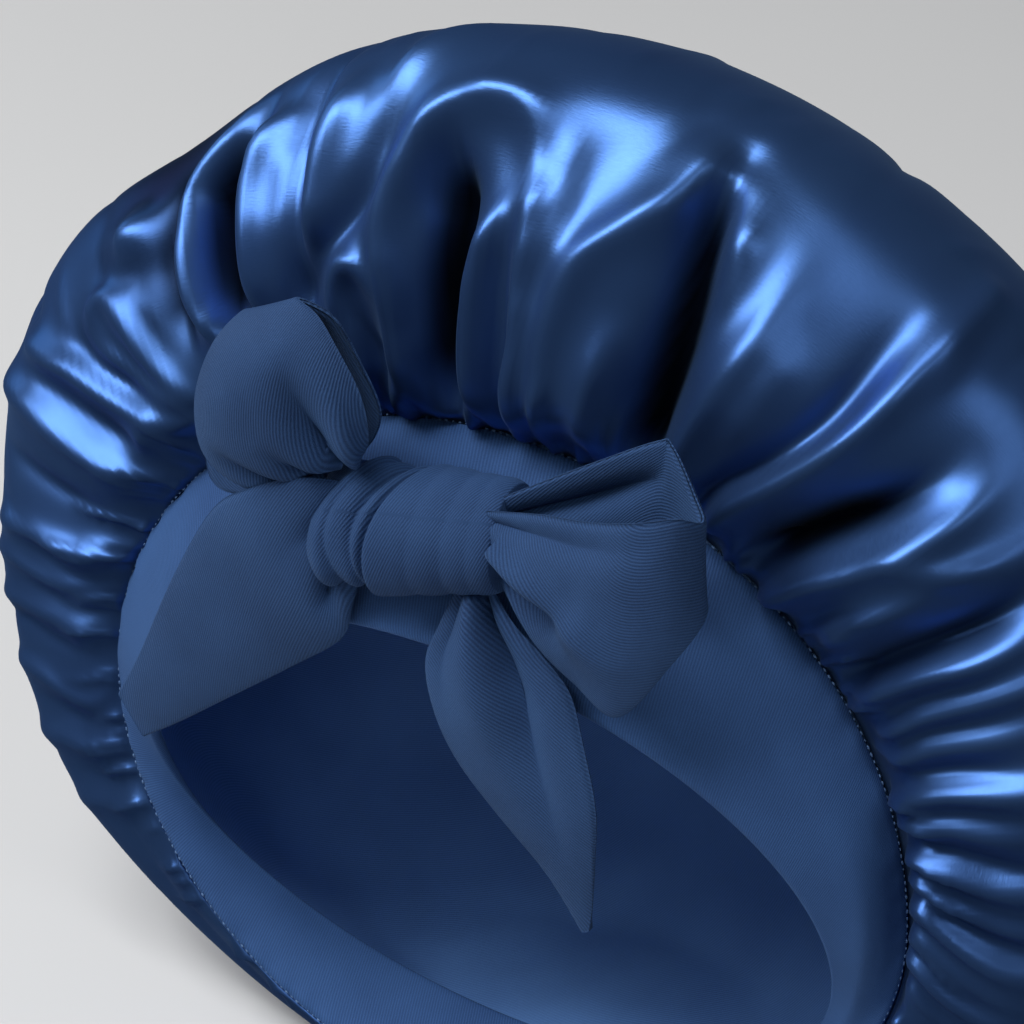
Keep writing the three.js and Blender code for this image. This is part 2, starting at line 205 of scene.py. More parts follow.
class Nodes:
    """Builds a material's node tree with few words."""

    def __init__(self, name):
        self.material = bpy.data.materials.new(name)
        self.material.use_nodes = True
        self.tree = self.material.node_tree
        self.shader = self.tree.nodes["Principled BSDF"]

    def add(self, kind, settings=None, **inputs):
        node = self.tree.nodes.new(kind)
        for key, value in (settings or {}).items():
            setattr(node, key, value)
        for key, value in inputs.items():
            self.set(node, key.replace("_", " "), value)
        return node

    def set(self, node, key, value):
        socket = node.inputs[int(key) if key.isdigit() else key]
        if isinstance(value, bpy.types.NodeSocket):
            self.tree.links.new(value, socket)
        else:
            socket.default_value = value

    def maths(self, operation, *values):
        node = self.add("ShaderNodeMath", {"operation": operation})
        for number, value in enumerate(values):
            self.set(node, str(number), value)
        return node.outputs[0]

    def noise(self, vector, scale, detail=2.0, roughness=0.5):
        node = self.add("ShaderNodeTexNoise", Scale=scale, Detail=detail, Roughness=roughness)
        self.set(node, "Vector", vector)
        return node.outputs["Fac"]

    def ramp(self, value, stops):
        node = self.add("ShaderNodeValToRGB", Fac=value)
        ramp = node.color_ramp
        while len(ramp.elements) < len(stops):
            ramp.elements.new(0.5)
        for element, (place, colour) in zip(ramp.elements, stops):
            element.position = place
            element.color = (*colour, 1)
        return node.outputs["Color"]

    def stretched(self, vector, scale, turn=0.0):
        node = self.add("ShaderNodeMapping", Vector=vector)
        node.inputs["Scale"].default_value = scale
        node.inputs["Rotation"].default_value = (0, 0, math.radians(turn))
        return node.outputs["Vector"]


def satin_cloth():
    """Glossy satin: long floats along the cloth, blue highlights, and painted shade that darkens its deep
    folds to near-black.
    """
    look = Nodes("bonnet_satin")
    uv = look.add("ShaderNodeUVMap", {"uv_map": "cloth"}).outputs["UV"]
    place = look.add("ShaderNodeTexCoord").outputs["Object"]
    floats = look.noise(look.stretched(uv, (60, 300, 1)), 1.0, 3.0, 0.6)
    cloudy = look.noise(place, 22.0, 3.0)
    colour = look.ramp(cloudy, [(0.3, (0.038, 0.092, 0.260)), (0.7, (0.052, 0.124, 0.325))])
    # painted shade: the satin's colour is mixed towards near-black where a fold hollows deep
    depth = look.add("ShaderNodeAttribute", {"attribute_name": "painted_fold_shade"}).outputs["Fac"]
    shaded = look.add("ShaderNodeMix", {"data_type": "RGBA"})
    look.set(shaded, "0", depth)
    look.set(shaded, "6", colour)
    look.set(shaded, "7", (0.002, 0.004, 0.012, 1))
    look.set(look.shader, "Base Color", shaded.outputs[2])
    look.shader.inputs["Metallic"].default_value = 0.8
    look.shader.inputs["Specular Tint"].default_value = (0.16, 0.34, 0.72, 1)
    look.set(look.shader, "Roughness", look.maths("MULTIPLY_ADD", floats, 0.12, 0.3))
    look.shader.inputs["Anisotropic"].default_value = 0.5
    look.shader.inputs["Sheen Weight"].default_value = 0.06
    look.shader.inputs["Sheen Tint"].default_value = (0.35, 0.6, 1.0, 1)
    tangent = look.add("ShaderNodeTangent", {"direction_type": "UV_MAP", "uv_map": "cloth"})
    look.set(look.shader, "Tangent", tangent.outputs[0])
    bump = look.add("ShaderNodeBump", Strength=0.1, Distance=0.0003, Height=floats)
    look.set(look.shader, "Normal", bump.outputs[0])
    return look.material


def twill_cloth(name, ribs_per_unit, turn, dark, light, relief):
    """Matt twill: fine diagonal ribs, broken up along their length, with a soft pale edge."""
    look = Nodes(name)
    uv = look.add("ShaderNodeUVMap", {"uv_map": "cloth"}).outputs["UV"]
    place = look.add("ShaderNodeTexCoord").outputs["Object"]
    ribs = look.add("ShaderNodeTexWave", Scale=ribs_per_unit, Distortion=0.7, Detail=2.0)
    ribs.inputs["Detail Scale"].default_value = 1.4
    look.set(ribs, "Vector", look.stretched(uv, (1, 1, 1), turn))
    yarn = look.noise(look.stretched(uv, (200, 520, 1), turn), 1.0, 3.0, 0.7)
    cloudy = look.noise(place, 30.0, 4.0)
    height = look.maths("MULTIPLY_ADD", yarn, 2.0, ribs.outputs["Fac"])
    shade = look.maths("MULTIPLY_ADD", cloudy, 0.5, look.maths("MULTIPLY", height, 0.24))
    look.set(look.shader, "Base Color", look.ramp(shade, [(0.3, dark), (0.8, light)]))
    look.set(look.shader, "Roughness", look.maths("MULTIPLY_ADD", yarn, 0.2, 0.66))
    look.shader.inputs["Sheen Weight"].default_value = 0.12
    look.shader.inputs["Sheen Roughness"].default_value = 0.45
    look.shader.inputs["Sheen Tint"].default_value = (0.22, 0.45, 0.9, 1)
    look.shader.inputs["Specular IOR Level"].default_value = 0.2
    bump = look.add("ShaderNodeBump", Strength=relief, Distance=0.0006, Height=height)
    look.set(look.shader, "Normal", bump.outputs[0])
    return look.material


def thread_twist():
    """Sewing thread, a little paler than the cloth."""
    look = Nodes("bonnet_thread")
    place = look.add("ShaderNodeTexCoord").outputs["Object"]
    twist = look.noise(place, 2500.0, 1.0)
    tones = [(0.3, (0.05, 0.11, 0.25)), (0.7, (0.11, 0.21, 0.4))]
    look.set(look.shader, "Base Color", look.ramp(twist, tones))
    look.shader.inputs["Roughness"].default_value = 0.45
    return look.material


def floor_paint():
    """The pale, even floor of the studio."""
    look = Nodes("studio_floor")
    place = look.add("ShaderNodeTexCoord").outputs["Object"]
    tones = [(0.3, (0.645, 0.65, 0.657)), (0.7, (0.665, 0.67, 0.677))]
    look.set(look.shader, "Base Color", look.ramp(look.noise(place, 3.0), tones))
    look.shader.inputs["Roughness"].default_value = 0.9
    return look.material


SATIN = satin_cloth()
BAND_TWILL = twill_cloth(
    "bonnet_band_twill", ribs_per_unit=46.0, turn=20, relief=0.26,
    dark=(0.012, 0.036, 0.115), light=(0.038, 0.102, 0.270),
)
# The bow's twill is the band's cloth painted darker all over, as painted shade on the bow.
SHADED_BOW_TWILL = twill_cloth(
    "bonnet_bow_twill_painted_darker", ribs_per_unit=48.0, turn=62, relief=0.4,
    dark=(0.005, 0.017, 0.058), light=(0.028, 0.075, 0.196),
)
LINING_TWILL = twill_cloth(
    "bonnet_lining", ribs_per_unit=50.0, turn=30, relief=0.2,
    dark=(0.060, 0.140, 0.350), light=(0.125, 0.275, 0.600),
)
THREAD = thread_twist()


# ---------------------------------------------------------------- band

def band_frame(angles):
    """The band's rim points, its width, and the ways across it and out of it."""
    rim = ring_points(RIM, angles)
    seam = ring_points(SEAM, angles)
    step = 0.5
    ahead = ring_points(RIM, angles + step) + ring_points(SEAM, angles + step)
    tangent = ahead - rim - seam
    across = seam - rim
    width = np.linalg.norm(across, axis=-1, keepdims=True)
    across = across / width
    return rim, width, across, unit(np.cross(across, tangent))


def band_bend(angles):
    """How far (mm) the band's seam side turns away at each angle."""
    away = away_from(angles, BAND_BEND["angle"])
    return BAND_BEND["depth"] * np.exp(-((away / BAND_BEND["spread"]) ** 2))


def on_band(angles, along, height):
    """Points over the band's middle surface, along from the rim (0) to the seam (1)."""
    rim, width, across, out = band_frame(angles)
    crowning = BAND_CROWNING * math.sin(math.pi * min(max(along, 0), 1))
    crowning = crowning - band_bend(angles) * smoothstep(along, BAND_BEND["from"], 1.0)
    lift = np.broadcast_to(height + crowning, (len(rim),))[:, None]
    return rim + across * width * along + out * lift


def band_waves(angles, along):
    """The soft unevenness of a cut and turned strip of cloth."""
    turn = np.radians(angles)
    slow = 0.5 * np.sin(5 * turn + 1.0) + 0.35 * np.sin(11 * turn + 0.4)
    pucker = 0.35 * np.sin(57 * turn + 3 * np.sin(9 * turn)) * smoothstep(along, 0.8, 1.0)
    return slow * math.sin(math.pi * min(max(along, 0), 1)) + pucker


def band_section(mean_width):
    """(along, height) pairs from the band's inner face round the rim to its outer face."""
    half = BAND_THICKNESS / 2
    face = [(along, half * (0.55 + 0.45 * smoothstep(1 - along, 0, 0.12)))
            for along in np.linspace(1.0, 0.0, BAND_STEPS["face"])]
    pairs = [(along, -height) for along, height in face]
    for k in range(1, BAND_STEPS["edge"]):
        turn = math.pi * (0.5 + k / BAND_STEPS["edge"])
        pairs.append((BAND_RIM_BULGE * half * math.cos(turn) / mean_width, -half * math.sin(turn)))
    return pairs + face[::-1]


def make_band():
    """The band: one closed ring of cloth, folded at the rim."""
    angles = np.arange(BAND_STEPS["around"]) * 360.0 / BAND_STEPS["around"]
    mean_width = float(band_frame(angles)[1].mean())
    section = band_section(mean_width)
    rows = []
    for along, height in section:
        seam_gap = along - PIECE_GAP / mean_width * max(0.0, along)
        rows.append(on_band(angles, seam_gap, height + band_waves(angles, along)))
    net = np.array(rows)
    faces = grid_faces(len(rows) + 1, len(angles))
    total = net.shape[0] * net.shape[1]
    faces = [tuple(v % total for v in f) for f in faces]
    arc = np.radians(angles) * RIM["half_width"]
    steps = np.abs(np.diff(np.array(section), axis=0)) @ (mean_width, 1.0)
    places = np.concatenate([[0], np.cumsum(steps)])
    uv = np.stack(np.meshgrid(arc, places), -1).reshape(-1, 2)
    return outward(make_piece("band_cloth", net.reshape(-1, 3), faces, BAND_TWILL, uv))


# ---------------------------------------------------------------- crown

def fold(way, height, left, right, ends=(14, 14)):
    """A fold of the crown: its way as (angle, along) points, its height (mm, a valley below
    zero), its spread (mm) to the left and right of the way as seen from outside, and the
    lengths (mm) over which it rises and fades."""
    return {"way": way, "height": height, "left": left, "right": right, "ends": ends}


FOLDS = [
    # the arched fold over the middle, with the deep hollow under its left shoulder
    fold(
        [(101, 0.27), (99, 0.33), (97, 0.36), (94.6, 0.372), (92, 0.376), (89.7, 0.368), (87.7, 0.34)],
        8, 16, 4.5,
    ),
    fold(
        [(88.4, 0.352), (86.7, 0.31), (85.8, 0.24), (85.2, 0.2), (85, 0.12), (85.2, 0.04)],
        8.75, 2.6, 4.2,
    ),
    fold([(95.6, 0.03), (95.6, 0.12), (95.0, 0.22), (95.2, 0.30), (96.6, 0.345)], -18.75, 6.5, 5.5),
    fold([(91.6, 0.03), (91.8, 0.12), (91.7, 0.2), (90.8, 0.27), (89.4, 0.32)], 8.75, 3, 7.5),
    fold([(87.3, 0.05), (87.4, 0.15), (87.9, 0.24), (88.6, 0.3)], -6.5, 4, 3),
    # the narrow pleats that are gathered into the seam below the arch
    fold([(100.2, 0.0), (99.8, 0.06), (99.6, 0.12), (99.8, 0.17)], 4.5, 1.8, 1.8, (2, 20)),
    fold([(97.2, 0.0), (97, 0.06), (96.9, 0.13), (97.1, 0.2)], 5, 1.8, 1.8, (2, 24)),
    fold([(94.6, 0.0), (94.2, 0.05), (94, 0.11)], 5.5, 1.9, 1.9, (2, 12)),
    fold([(92.9, 0.0), (93, 0.05), (93.2, 0.1)], 4.5, 1.7, 1.7, (2, 12)),
    fold([(90, 0.0), (89.8, 0.06), (89.6, 0.12)], 4.5, 1.8, 1.8, (2, 12)),
    fold([(88, 0.0), (87.4, 0.04), (86.9, 0.09)], 4, 1.7, 1.7, (2, 10)),
    fold([(83.8, 0.0), (83.4, 0.04), (82.6, 0.08)], 3.5, 1.8, 1.8, (2, 10)),
    fold([(80.4, 0.0), (79.6, 0.04), (78.8, 0.07)], 3.5, 1.8, 1.8, (2, 10)),
    # the panels left of it
    fold(
        [(103, 0.02), (101.3, 0.08), (100.6, 0.13), (100.4, 0.2), (101.2, 0.25), (101.5, 0.31)],
        7.5, 3.5, 2.6,
    ),
    fold([(98.4, 0.02), (98.4, 0.12), (97.8, 0.2)], 3, 3, 3),
    fold(
        [(107.4, 0.03), (105.9, 0.1), (106.4, 0.155), (107.1, 0.2),
         (105.6, 0.232), (103.4, 0.222), (101.9, 0.19)],
        6.25, 3, 2.4,
    ),
    fold([(104.3, 0.05), (103.6, 0.12), (104.6, 0.19)], -5.5, 3.6, 3.6),
    fold([(111.2, 0.19), (109, 0.235), (106, 0.27), (103.4, 0.31), (101.6, 0.37)], -6, 2.6, 4),
    fold([(108.6, 0.22), (108.8, 0.28), (108.4, 0.34), (107.2, 0.4)], 7.5, 8, 8),
    fold([(104.6, 0.35), (102.8, 0.4), (100.6, 0.44), (98.5, 0.47)], 5.5, 6, 7, (20, 26)),
    fold(
        [(111.9, 0.16), (111.7, 0.22), (111.3, 0.3), (112.4, 0.36), (112.6, 0.42), (111.5, 0.47)],
        -6.5, 2.2, 3.2, (10, 26),
    ),
    fold([(117.3, 0.16), (117.5, 0.2), (117.6, 0.27), (118, 0.32), (116.6, 0.36), (114, 0.37)], 8, 3.6, 9),
    fold([(119.4, 0.12), (119, 0.2), (119.2, 0.28), (119.4, 0.35), (118.8, 0.42)], -5.5, 2.4, 2, (10, 26)),
    fold(
        [(123.6, 0.14), (124.6, 0.18), (126, 0.22), (126.3, 0.26),
         (126.3, 0.3), (126, 0.33), (124, 0.36), (121, 0.4)],
        10, 5, 3.2, (12, 26),
    ),
    fold([(121, 0.15), (121.8, 0.2), (122.6, 0.26), (122.6, 0.32), (120.8, 0.36)], -14.25, 5.5, 4.5),
    fold([(129.8, 0.16), (130.6, 0.22), (131, 0.29), (129.5, 0.36)], -6.5, 6, 5),
    fold([(137, 0.36), (137, 0.33), (138, 0.3)], 7.5, 10, 10, (10, 10)),
    # the looping folds over the left ear
    fold(
        [(130, 0.1), (133.4, 0.13), (136.3, 0.18), (138, 0.235),
         (139.4, 0.27), (141.2, 0.288), (143.4, 0.28), (144.4, 0.262)],
        5, 5.9, 3.6,
    ),
    fold([(144.4, 0.27), (143.9, 0.24), (140.8, 0.2), (137.6, 0.15), (134, 0.115)], 4.25, 3.6, 3.9),
    fold([(133.6, 0.12), (137.6, 0.17), (140.2, 0.215), (141.8, 0.25)], -2.75, 3.2, 3.2),
    fold(
        [(157.5, 0.35), (152.4, 0.285), (148.7, 0.245), (145.6, 0.2),
         (141.6, 0.15), (138.2, 0.11), (134.4, 0.08)],
        6, 3.9, 7.8,
    ),
    fold([(149, 0.3), (145.6, 0.24), (141.4, 0.18), (137, 0.13)], -4.25, 5.2, 5.2),
    fold(
        [(163, 0.36), (161.4, 0.32), (157.9, 0.27), (155.7, 0.22),
         (153.4, 0.165), (150.4, 0.11), (147.4, 0.05)],
        5.5, 4.4, 9.1,
    ),
    fold([(157.5, 0.31), (152, 0.23), (147.6, 0.15), (143.6, 0.08)], -4.25, 5.9, 5.9),
    fold([(147, 0.1), (143.6, 0.12), (141, 0.13)], 3.75, 7.8, 7.8, (8, 8)),
    # the stacked rolls down the left side
    fold(
        [(177, 0.3), (171.5, 0.215), (170, 0.185), (168, 0.13), (164.8, 0.08), (160.5, 0.02)],
        4.75, 3.7, 8,
    ),
    fold([(168, 0.3), (164, 0.21), (159.5, 0.11), (155.6, 0.03)], -3.75, 5.2, 5.2),
    fold([(183, 0.34), (178.5, 0.25), (176.7, 0.185), (172.8, 0.12), (169.4, 0.05)], 2.75, 3.7, 6.9),
    fold([(174.6, 0.24), (171.4, 0.13), (166.6, 0.04)], -2.25, 4.1, 4.1),
    fold([(189, 0.33), (184.4, 0.25), (182.2, 0.19), (178.8, 0.11), (173.6, 0.02)], 2.75, 3.7, 7.5),
    fold([(180.4, 0.24), (176.4, 0.12), (172, 0.03)], -2.25, 4.1, 4.1),
    fold([(196, 0.32), (192.6, 0.23), (192.4, 0.165), (190.8, 0.1), (186.4, 0.03)], 3, 3.9, 8),
    fold([(187.4, 0.27), (185.2, 0.16), (181, 0.05)], -2.5, 5.2, 5.2),
    fold([(205, 0.32), (201.6, 0.23), (199.4, 0.15), (196.4, 0.05)], 2.75, 4.6, 8),
    fold([(197.4, 0.25), (195.2, 0.14), (191.4, 0.04)], -2.25, 4.6, 4.6),
    fold([(213, 0.3), (209.6, 0.2), (206.4, 0.1), (203, 0.03)], 2.25, 4.6, 6.9),
    fold([(207, 0.24), (203.4, 0.12), (200, 0.03)], -1.75, 4.6, 4.6),
    # the broad lobes right of the middle
    fold([(85.2, 0.37), (85.0, 0.34), (84.2, 0.3), (83.8, 0.26)], 5.5, 2.2, 4, (8, 14)),
    fold(
        [(82.4, 0.06), (82, 0.14), (82.2, 0.22), (81.4, 0.28), (78.4, 0.32), (75.6, 0.355), (73.6, 0.405)],
        7.75, 7, 12, (16, 6),
    ),
    fold([(76.8, 0.06), (76.4, 0.14), (76.4, 0.24)], 6.5, 9, 6),
    fold(
        [(71.4, 0.05), (70.6, 0.12), (70.6, 0.2), (71.4, 0.27), (73, 0.37), (72.4, 0.42)],
        -16.5, 6.5, 5.5, (14, 24),
    ),
    fold([(79.6, 0.36), (77.6, 0.4), (75.2, 0.44), (72.5, 0.48)], -3.5, 3, 3, (20, 26)),
    fold([(68.8, 0.3), (69.4, 0.34), (70.2, 0.37)], 6, 4.5, 4, (14, 8)),
    fold([(66, 0.05), (66, 0.14), (65.4, 0.22), (64.4, 0.3), (64.5, 0.36)], 6.5, 8, 9, (14, 26)),
    fold([(61.4, 0.18), (61.2, 0.25), (61.6, 0.31)], 4.25, 9, 8),
    fold(
        [(63, 0.06), (61, 0.13), (58.2, 0.19), (56.2, 0.24), (55.2, 0.3), (54.8, 0.37)],
        -8.25, 4, 3.2, (12, 30),
    ),
    fold(
        [(60.4, 0.05), (59.2, 0.13), (56.4, 0.2), (53.6, 0.27), (52, 0.34), (51.5, 0.4)],
        8.5, 5, 9, (12, 26),
    ),
    fold([(54.4, 0.05), (51.6, 0.13), (49, 0.2), (46.5, 0.26), (44.8, 0.32)], -14.25, 6, 4.5, (12, 30)),
    fold([(50.8, 0.47), (50.4, 0.43), (50.6, 0.39), (50, 0.35)], 4.75, 3, 3.5, (12, 12)),
    fold(
        [(51.2, 0.02), (49.2, 0.08), (47.2, 0.14), (44.4, 0.2), (42, 0.27), (40.5, 0.34)],
        8.5, 5, 9, (10, 26),
    ),
    fold([(41.6, 0.06), (40.4, 0.12), (38.8, 0.19), (38, 0.25)], 6, 6, 6, (10, 14)),
    fold([(44.6, 0.05), (43.2, 0.12), (41.4, 0.17)], -4.5, 3.5, 3.5),
    fold([(43.4, 0.22), (40.8, 0.24), (38.4, 0.26), (35.6, 0.3), (33, 0.35)], 4.75, 3.2, 4, (10, 26)),
    fold([(37.4, 0.03), (35.4, 0.1), (34, 0.18), (32.4, 0.26), (31.5, 0.34)], -8.75, 4.2, 3.6, (10, 26)),
    fold([(33.8, 0.05), (33, 0.1), (31.6, 0.18), (29.6, 0.25), (28.6, 0.33)], 6.5, 3, 4.5, (10, 26)),
    # the tighter folds down the right side
    fold(
        [(29.4, 0.05), (27.8, 0.1), (27.2, 0.17), (26, 0.23), (24.6, 0.3), (24.4, 0.38)],
        5, 2.4, 3.5, (8, 30),
    ),
    fold([(30.6, 0.05), (29.6, 0.12), (28.6, 0.19), (27, 0.27)], -3.5, 2.6, 2.6, (8, 20)),
    fold([(25, 0.04), (24.4, 0.09), (23.6, 0.16), (21.5, 0.24), (19.5, 0.34)], 3.25, 2.7, 5.2, (8, 26)),
    fold([(26.6, 0.05), (25.9, 0.11), (25, 0.18), (23, 0.27)], -3.25, 2.4, 2.6, (8, 20)),
    fold([(20.8, 0.03), (19.8, 0.09), (18, 0.17), (14.6, 0.27), (13, 0.36)], 6, 4.2, 9.1, (8, 26)),
    fold([(22.4, 0.03), (21.6, 0.09), (20, 0.17), (17, 0.26)], -4.5, 3.3, 3.3, (8, 20)),
    fold([(17, 0.05), (15.4, 0.1), (13.8, 0.15), (11, 0.21), (8.5, 0.3)], 3.5, 2.4, 4.4, (8, 26)),
    fold([(18.4, 0.05), (16.8, 0.1), (15.2, 0.17), (11.8, 0.26)], -2.75, 2.3, 2.5, (8, 20)),
    fold([(13.4, 0.02), (11.4, 0.08), (8.4, 0.14), (4.4, 0.2), (1.4, 0.28)], 5.5, 3.8, 6.8, (8, 26)),
    fold([(15, 0.02), (13, 0.08), (10.4, 0.14), (6, 0.22), (3.6, 0.3)], -4.25, 2.9, 3.1, (8, 20)),
    fold([(10, 0.02), (7.6, 0.08), (3.4, 0.14), (-1.6, 0.21), (-5, 0.3)], 2.75, 2, 3.2, (8, 26)),
    fold([(11.4, 0.02), (9, 0.08), (5.4, 0.14), (0.8, 0.21), (-2, 0.3)], -2.5, 2.2, 2.3, (8, 20)),
    fold([(6.4, 0.02), (3.8, 0.08), (-1, 0.14), (-6.4, 0.21), (-10.5, 0.3)], 6.25, 3.9, 6.4, (8, 26)),
    fold([(7.8, 0.02), (5.4, 0.08), (1, 0.14), (-4, 0.21), (-7.5, 0.3)], -4.5, 2.9, 3.1, (8, 20)),
    fold([(2.4, 0.02), (-0.4, 0.08), (-5, 0.14), (-10.6, 0.21), (-15, 0.3)], 3.5, 2.2, 3.7, (8, 26)),
    fold([(4, 0.02), (1.4, 0.08), (-3.4, 0.14), (-8.6, 0.21)], -2.75, 2.2, 2.3, (8, 20)),
    fold([(-2, 0.02), (-4.6, 0.08), (-9, 0.14), (-14.4, 0.21), (-19, 0.3)], 5.5, 3.6, 6, (8, 26)),
    fold([(-0.4, 0.02), (-3, 0.08), (-7.4, 0.14), (-12.6, 0.21)], -4.25, 2.6, 2.9, (8, 20)),
    fold([(-7, 0.02), (-9.6, 0.08), (-13.4, 0.14), (-18, 0.22)], 2.5, 2, 3.2, (8, 26)),
    fold([(-5.4, 0.02), (-7.8, 0.08), (-11.6, 0.14), (-16, 0.22)], -2.25, 2.2, 2.3, (8, 20)),
]

# Broad rises and hollows of the slumped crown: angle, along, spreads and height (mm).
SLUMPS = [
    {"angle": 133, "width": 15, "along": 0.45, "extent": 0.25, "height": -8},  # over the left ear
    {"angle": 86, "width": 22, "along": 0.5, "extent": 0.25, "height": 3},  # at the top
    {"angle": 210, "width": 18, "along": 0.36, "extent": 0.2, "height": 4},  # at the left cheek
]

# Fine gathers at the seam, faint wrinkles behind them and soft folds at the back (mm).
GATHERS = {"count": 92, "height": 2.0, "spread": 1.8, "seed": 11}
WRINKLES = {"count": 120, "height": 1.2, "spread": 3.4, "seed": 5}
BACK_FOLDS = {"count": 34, "height": 3.4, "spread": 8, "seed": 23}
# How far folds turn on their way back, in degrees for the whole way, by the angle where they start.
GATHER_DRIFT = [
    (-120, 0), (-40, -45), (0, -70), (20, -45), (40, -32), (60, -24), (90, 0),
    (120, 15), (150, 52), (180, 42), (210, 30), (240, 0),
]
DRIFT_REACH = 0.38  # how far along the crown folds go on turning


def crown_base(angles, places):
    """The plain crown at single (angle, along) pairs."""
    stations = [ring_points(SEAM, angles)] + [ring_points(r, angles) for r in CROWN_RINGS]
    stations.append(np.broadcast_to(np.array(CROWN_END, float), stations[0].shape))
    s = extended(np.array(stations))
    k, f = span_places(places, len(stations) - 1)
    i = np.arange(len(k))
    points = catmull_rom(s[k, i], s[k + 1, i], s[k + 2, i], s[k + 3, i], f[:, None])
    points[:, 2] = settle(points[:, 2], 0)
    return points


def crown_angles():
    """The angles of the crown's columns: close together in front, wide apart underneath."""
    low, high = CROWN_FRONT_ANGLES
    front = np.linspace(low, high, CROWN_STEPS["front"], endpoint=False)
    under = np.linspace(high, low + 360, CROWN_STEPS["under"], endpoint=False)
    return np.concatenate([front, under])


RIDGE_POWER, HOLLOW_POWER = 1.5, 1.8  # how pointed the sections of ridges and hollows are
CREST_SHARE, CREST_SPREAD = 0.42, 0.3  # the tight crest on a fold, as shares of its size
FOLD_REACH = 3.2  # how many spreads from its line a fold is still felt


def fold_line(way):
    """A fold's line over the plain crown, the ways along it and to its left, and its lengths."""
    marks = spline(way[:, None, :], np.linspace(0, 1, 16 * len(way)))[:, 0, :]
    line = crown_base(marks[:, 0], marks[:, 1])
    tangent = unit(np.gradient(line, axis=0))
    aside = crown_base(marks[:, 0] + 1.0, marks[:, 1]) - line
    back = crown_base(marks[:, 0], np.minimum(marks[:, 1] + 0.02, 1)) - line
    left = unit(np.cross(unit(np.cross(back, aside)), tangent))
    travelled = np.concatenate([[0], np.cumsum(np.linalg.norm(np.diff(line, axis=0), axis=1))])
    return line, tangent, left, travelled


def fold_profile(distance, spread, power):
    """The share of a fold's height at a distance from its line: a soft body with a tight crest."""
    body = np.exp(-((distance / spread) ** power))
    crest = np.exp(-((distance / (CREST_SPREAD * spread)) ** power))
    return (1 - CREST_SHARE) * body + CREST_SHARE * crest


def add_fold(heights, net, fold_row):
    """Adds one fold's height to the net's heights."""
    line, tangent, left, travelled = fold_line(np.array(fold_row["way"], float))
    reach = FOLD_REACH * max(fold_row["left"], fold_row["right"])
    inside = np.all((net > line.min(0) - reach) & (net < line.max(0) + reach), axis=-1)
    points = net[inside]
    if len(points) == 0:
        return
    apart = ((points[:, None, :] - line[None]) ** 2).sum(-1)
    nearest = apart.argmin(1)
    offset = points - line[nearest]
    side = (offset * left[nearest]).sum(-1)
    ahead = (offset * tangent[nearest]).sum(-1)
    place = travelled[nearest] + ahead
    off_line = np.sqrt(np.maximum((offset**2).sum(-1) - ahead**2, 0))
    distance = np.maximum(np.abs(side), 0.8 * off_line)
    spread = np.where(side > 0, fold_row["left"], fold_row["right"])
    rise, fade = fold_row["ends"]
    length = travelled[-1]
    taper = smoothstep(place, -0.3 * rise, rise)
    taper = taper * (1 - smoothstep(place, length - fade, length + 0.3 * fade))
    power = RIDGE_POWER if fold_row["height"] > 0 else HOLLOW_POWER
    heights[inside] += fold_row["height"] * taper * fold_profile(distance, spread, power)


def seam_gathers():
    """The fine gathers all along the seam."""
    rows = []
    chance = np.random.default_rng(GATHERS["seed"])
    starts = np.cumsum(chance.uniform(0.3, 1.7, GATHERS["count"]))
    starts = starts / starts[-1] * 360 - 90
    for start in starts:
        reach = chance.uniform(0.06, 0.2)
        drift = float(drift_of(np.array(start)))
        middle = (start + drift * 0.3 * reach, 0.4 * reach)
        way = [(start, 0.0), middle, (start + drift * reach, reach)]
        tall = GATHERS["height"] * chance.uniform(0.5, 1.6)
        wide = GATHERS["spread"] * chance.uniform(0.8, 1.5)
        rows.append(fold(way, tall, wide, wide * chance.uniform(0.8, 1.6), (3.0, 9)))
    return rows


def faint_wrinkles():
    """Faint wrinkles behind the gathers, over the crown's front, top and sides."""
    rows = []
    chance = np.random.default_rng(WRINKLES["seed"])
    for _ in range(WRINKLES["count"]):
        start = chance.uniform(-20, 215)
        low = chance.uniform(0.1, 0.5)
        reach = chance.uniform(0.06, 0.16)
        drift = float(drift_of(np.array(start))) + chance.uniform(-14, 14)
        middle = (start + 0.5 * drift * reach, low + 0.5 * reach)
        way = [(start, low), middle, (start + drift * reach, low + reach)]
        tall = WRINKLES["height"] * chance.uniform(-1, 1)
        rows.append(fold(way, tall, WRINKLES["spread"], WRINKLES["spread"], (16, 16)))
    return rows


def back_folds():
    """Soft folds that run in towards the middle of the crown's back."""
    rows = []
    chance = np.random.default_rng(BACK_FOLDS["seed"])
    for number in range(BACK_FOLDS["count"]):
        start = number * 360 / BACK_FOLDS["count"] + chance.uniform(-6, 6) - 90
        low = chance.uniform(0.5, 0.62)
        high = chance.uniform(0.76, 0.9)
        lean = chance.uniform(-10, 10)
        way = [(start, low), (start + 0.4 * lean, 0.5 * (low + high)), (start + lean, high)]
        tall = BACK_FOLDS["height"] * chance.uniform(-1, 0.7)
        wide = BACK_FOLDS["spread"] * chance.uniform(0.5, 1.3)
        rows.append(fold(way, tall, wide, 0.7 * wide, (36, 30)))
    return rows


def drift_of(angles):
    """How far folds that start at these angles turn on their way back."""
    drift_at, drift_by = np.array(GATHER_DRIFT, float).T
    return np.interp(np.where(angles > 240, angles - 360, angles), drift_at, drift_by)


def turning(places):
    """The share of its drift that a fold has made at each place."""
    return DRIFT_REACH * (1 - np.exp(-np.asarray(places) / DRIFT_REACH))


def soften(heights):
    """Evens neighbouring heights round and along the crown."""
    evened = 0.5 * heights + 0.25 * (np.roll(heights, 1, 1) + np.roll(heights, -1, 1))
    result = evened.copy()
    result[1:-1] = 0.5 * evened[1:-1] + 0.25 * (evened[2:] + evened[:-2])
    return result


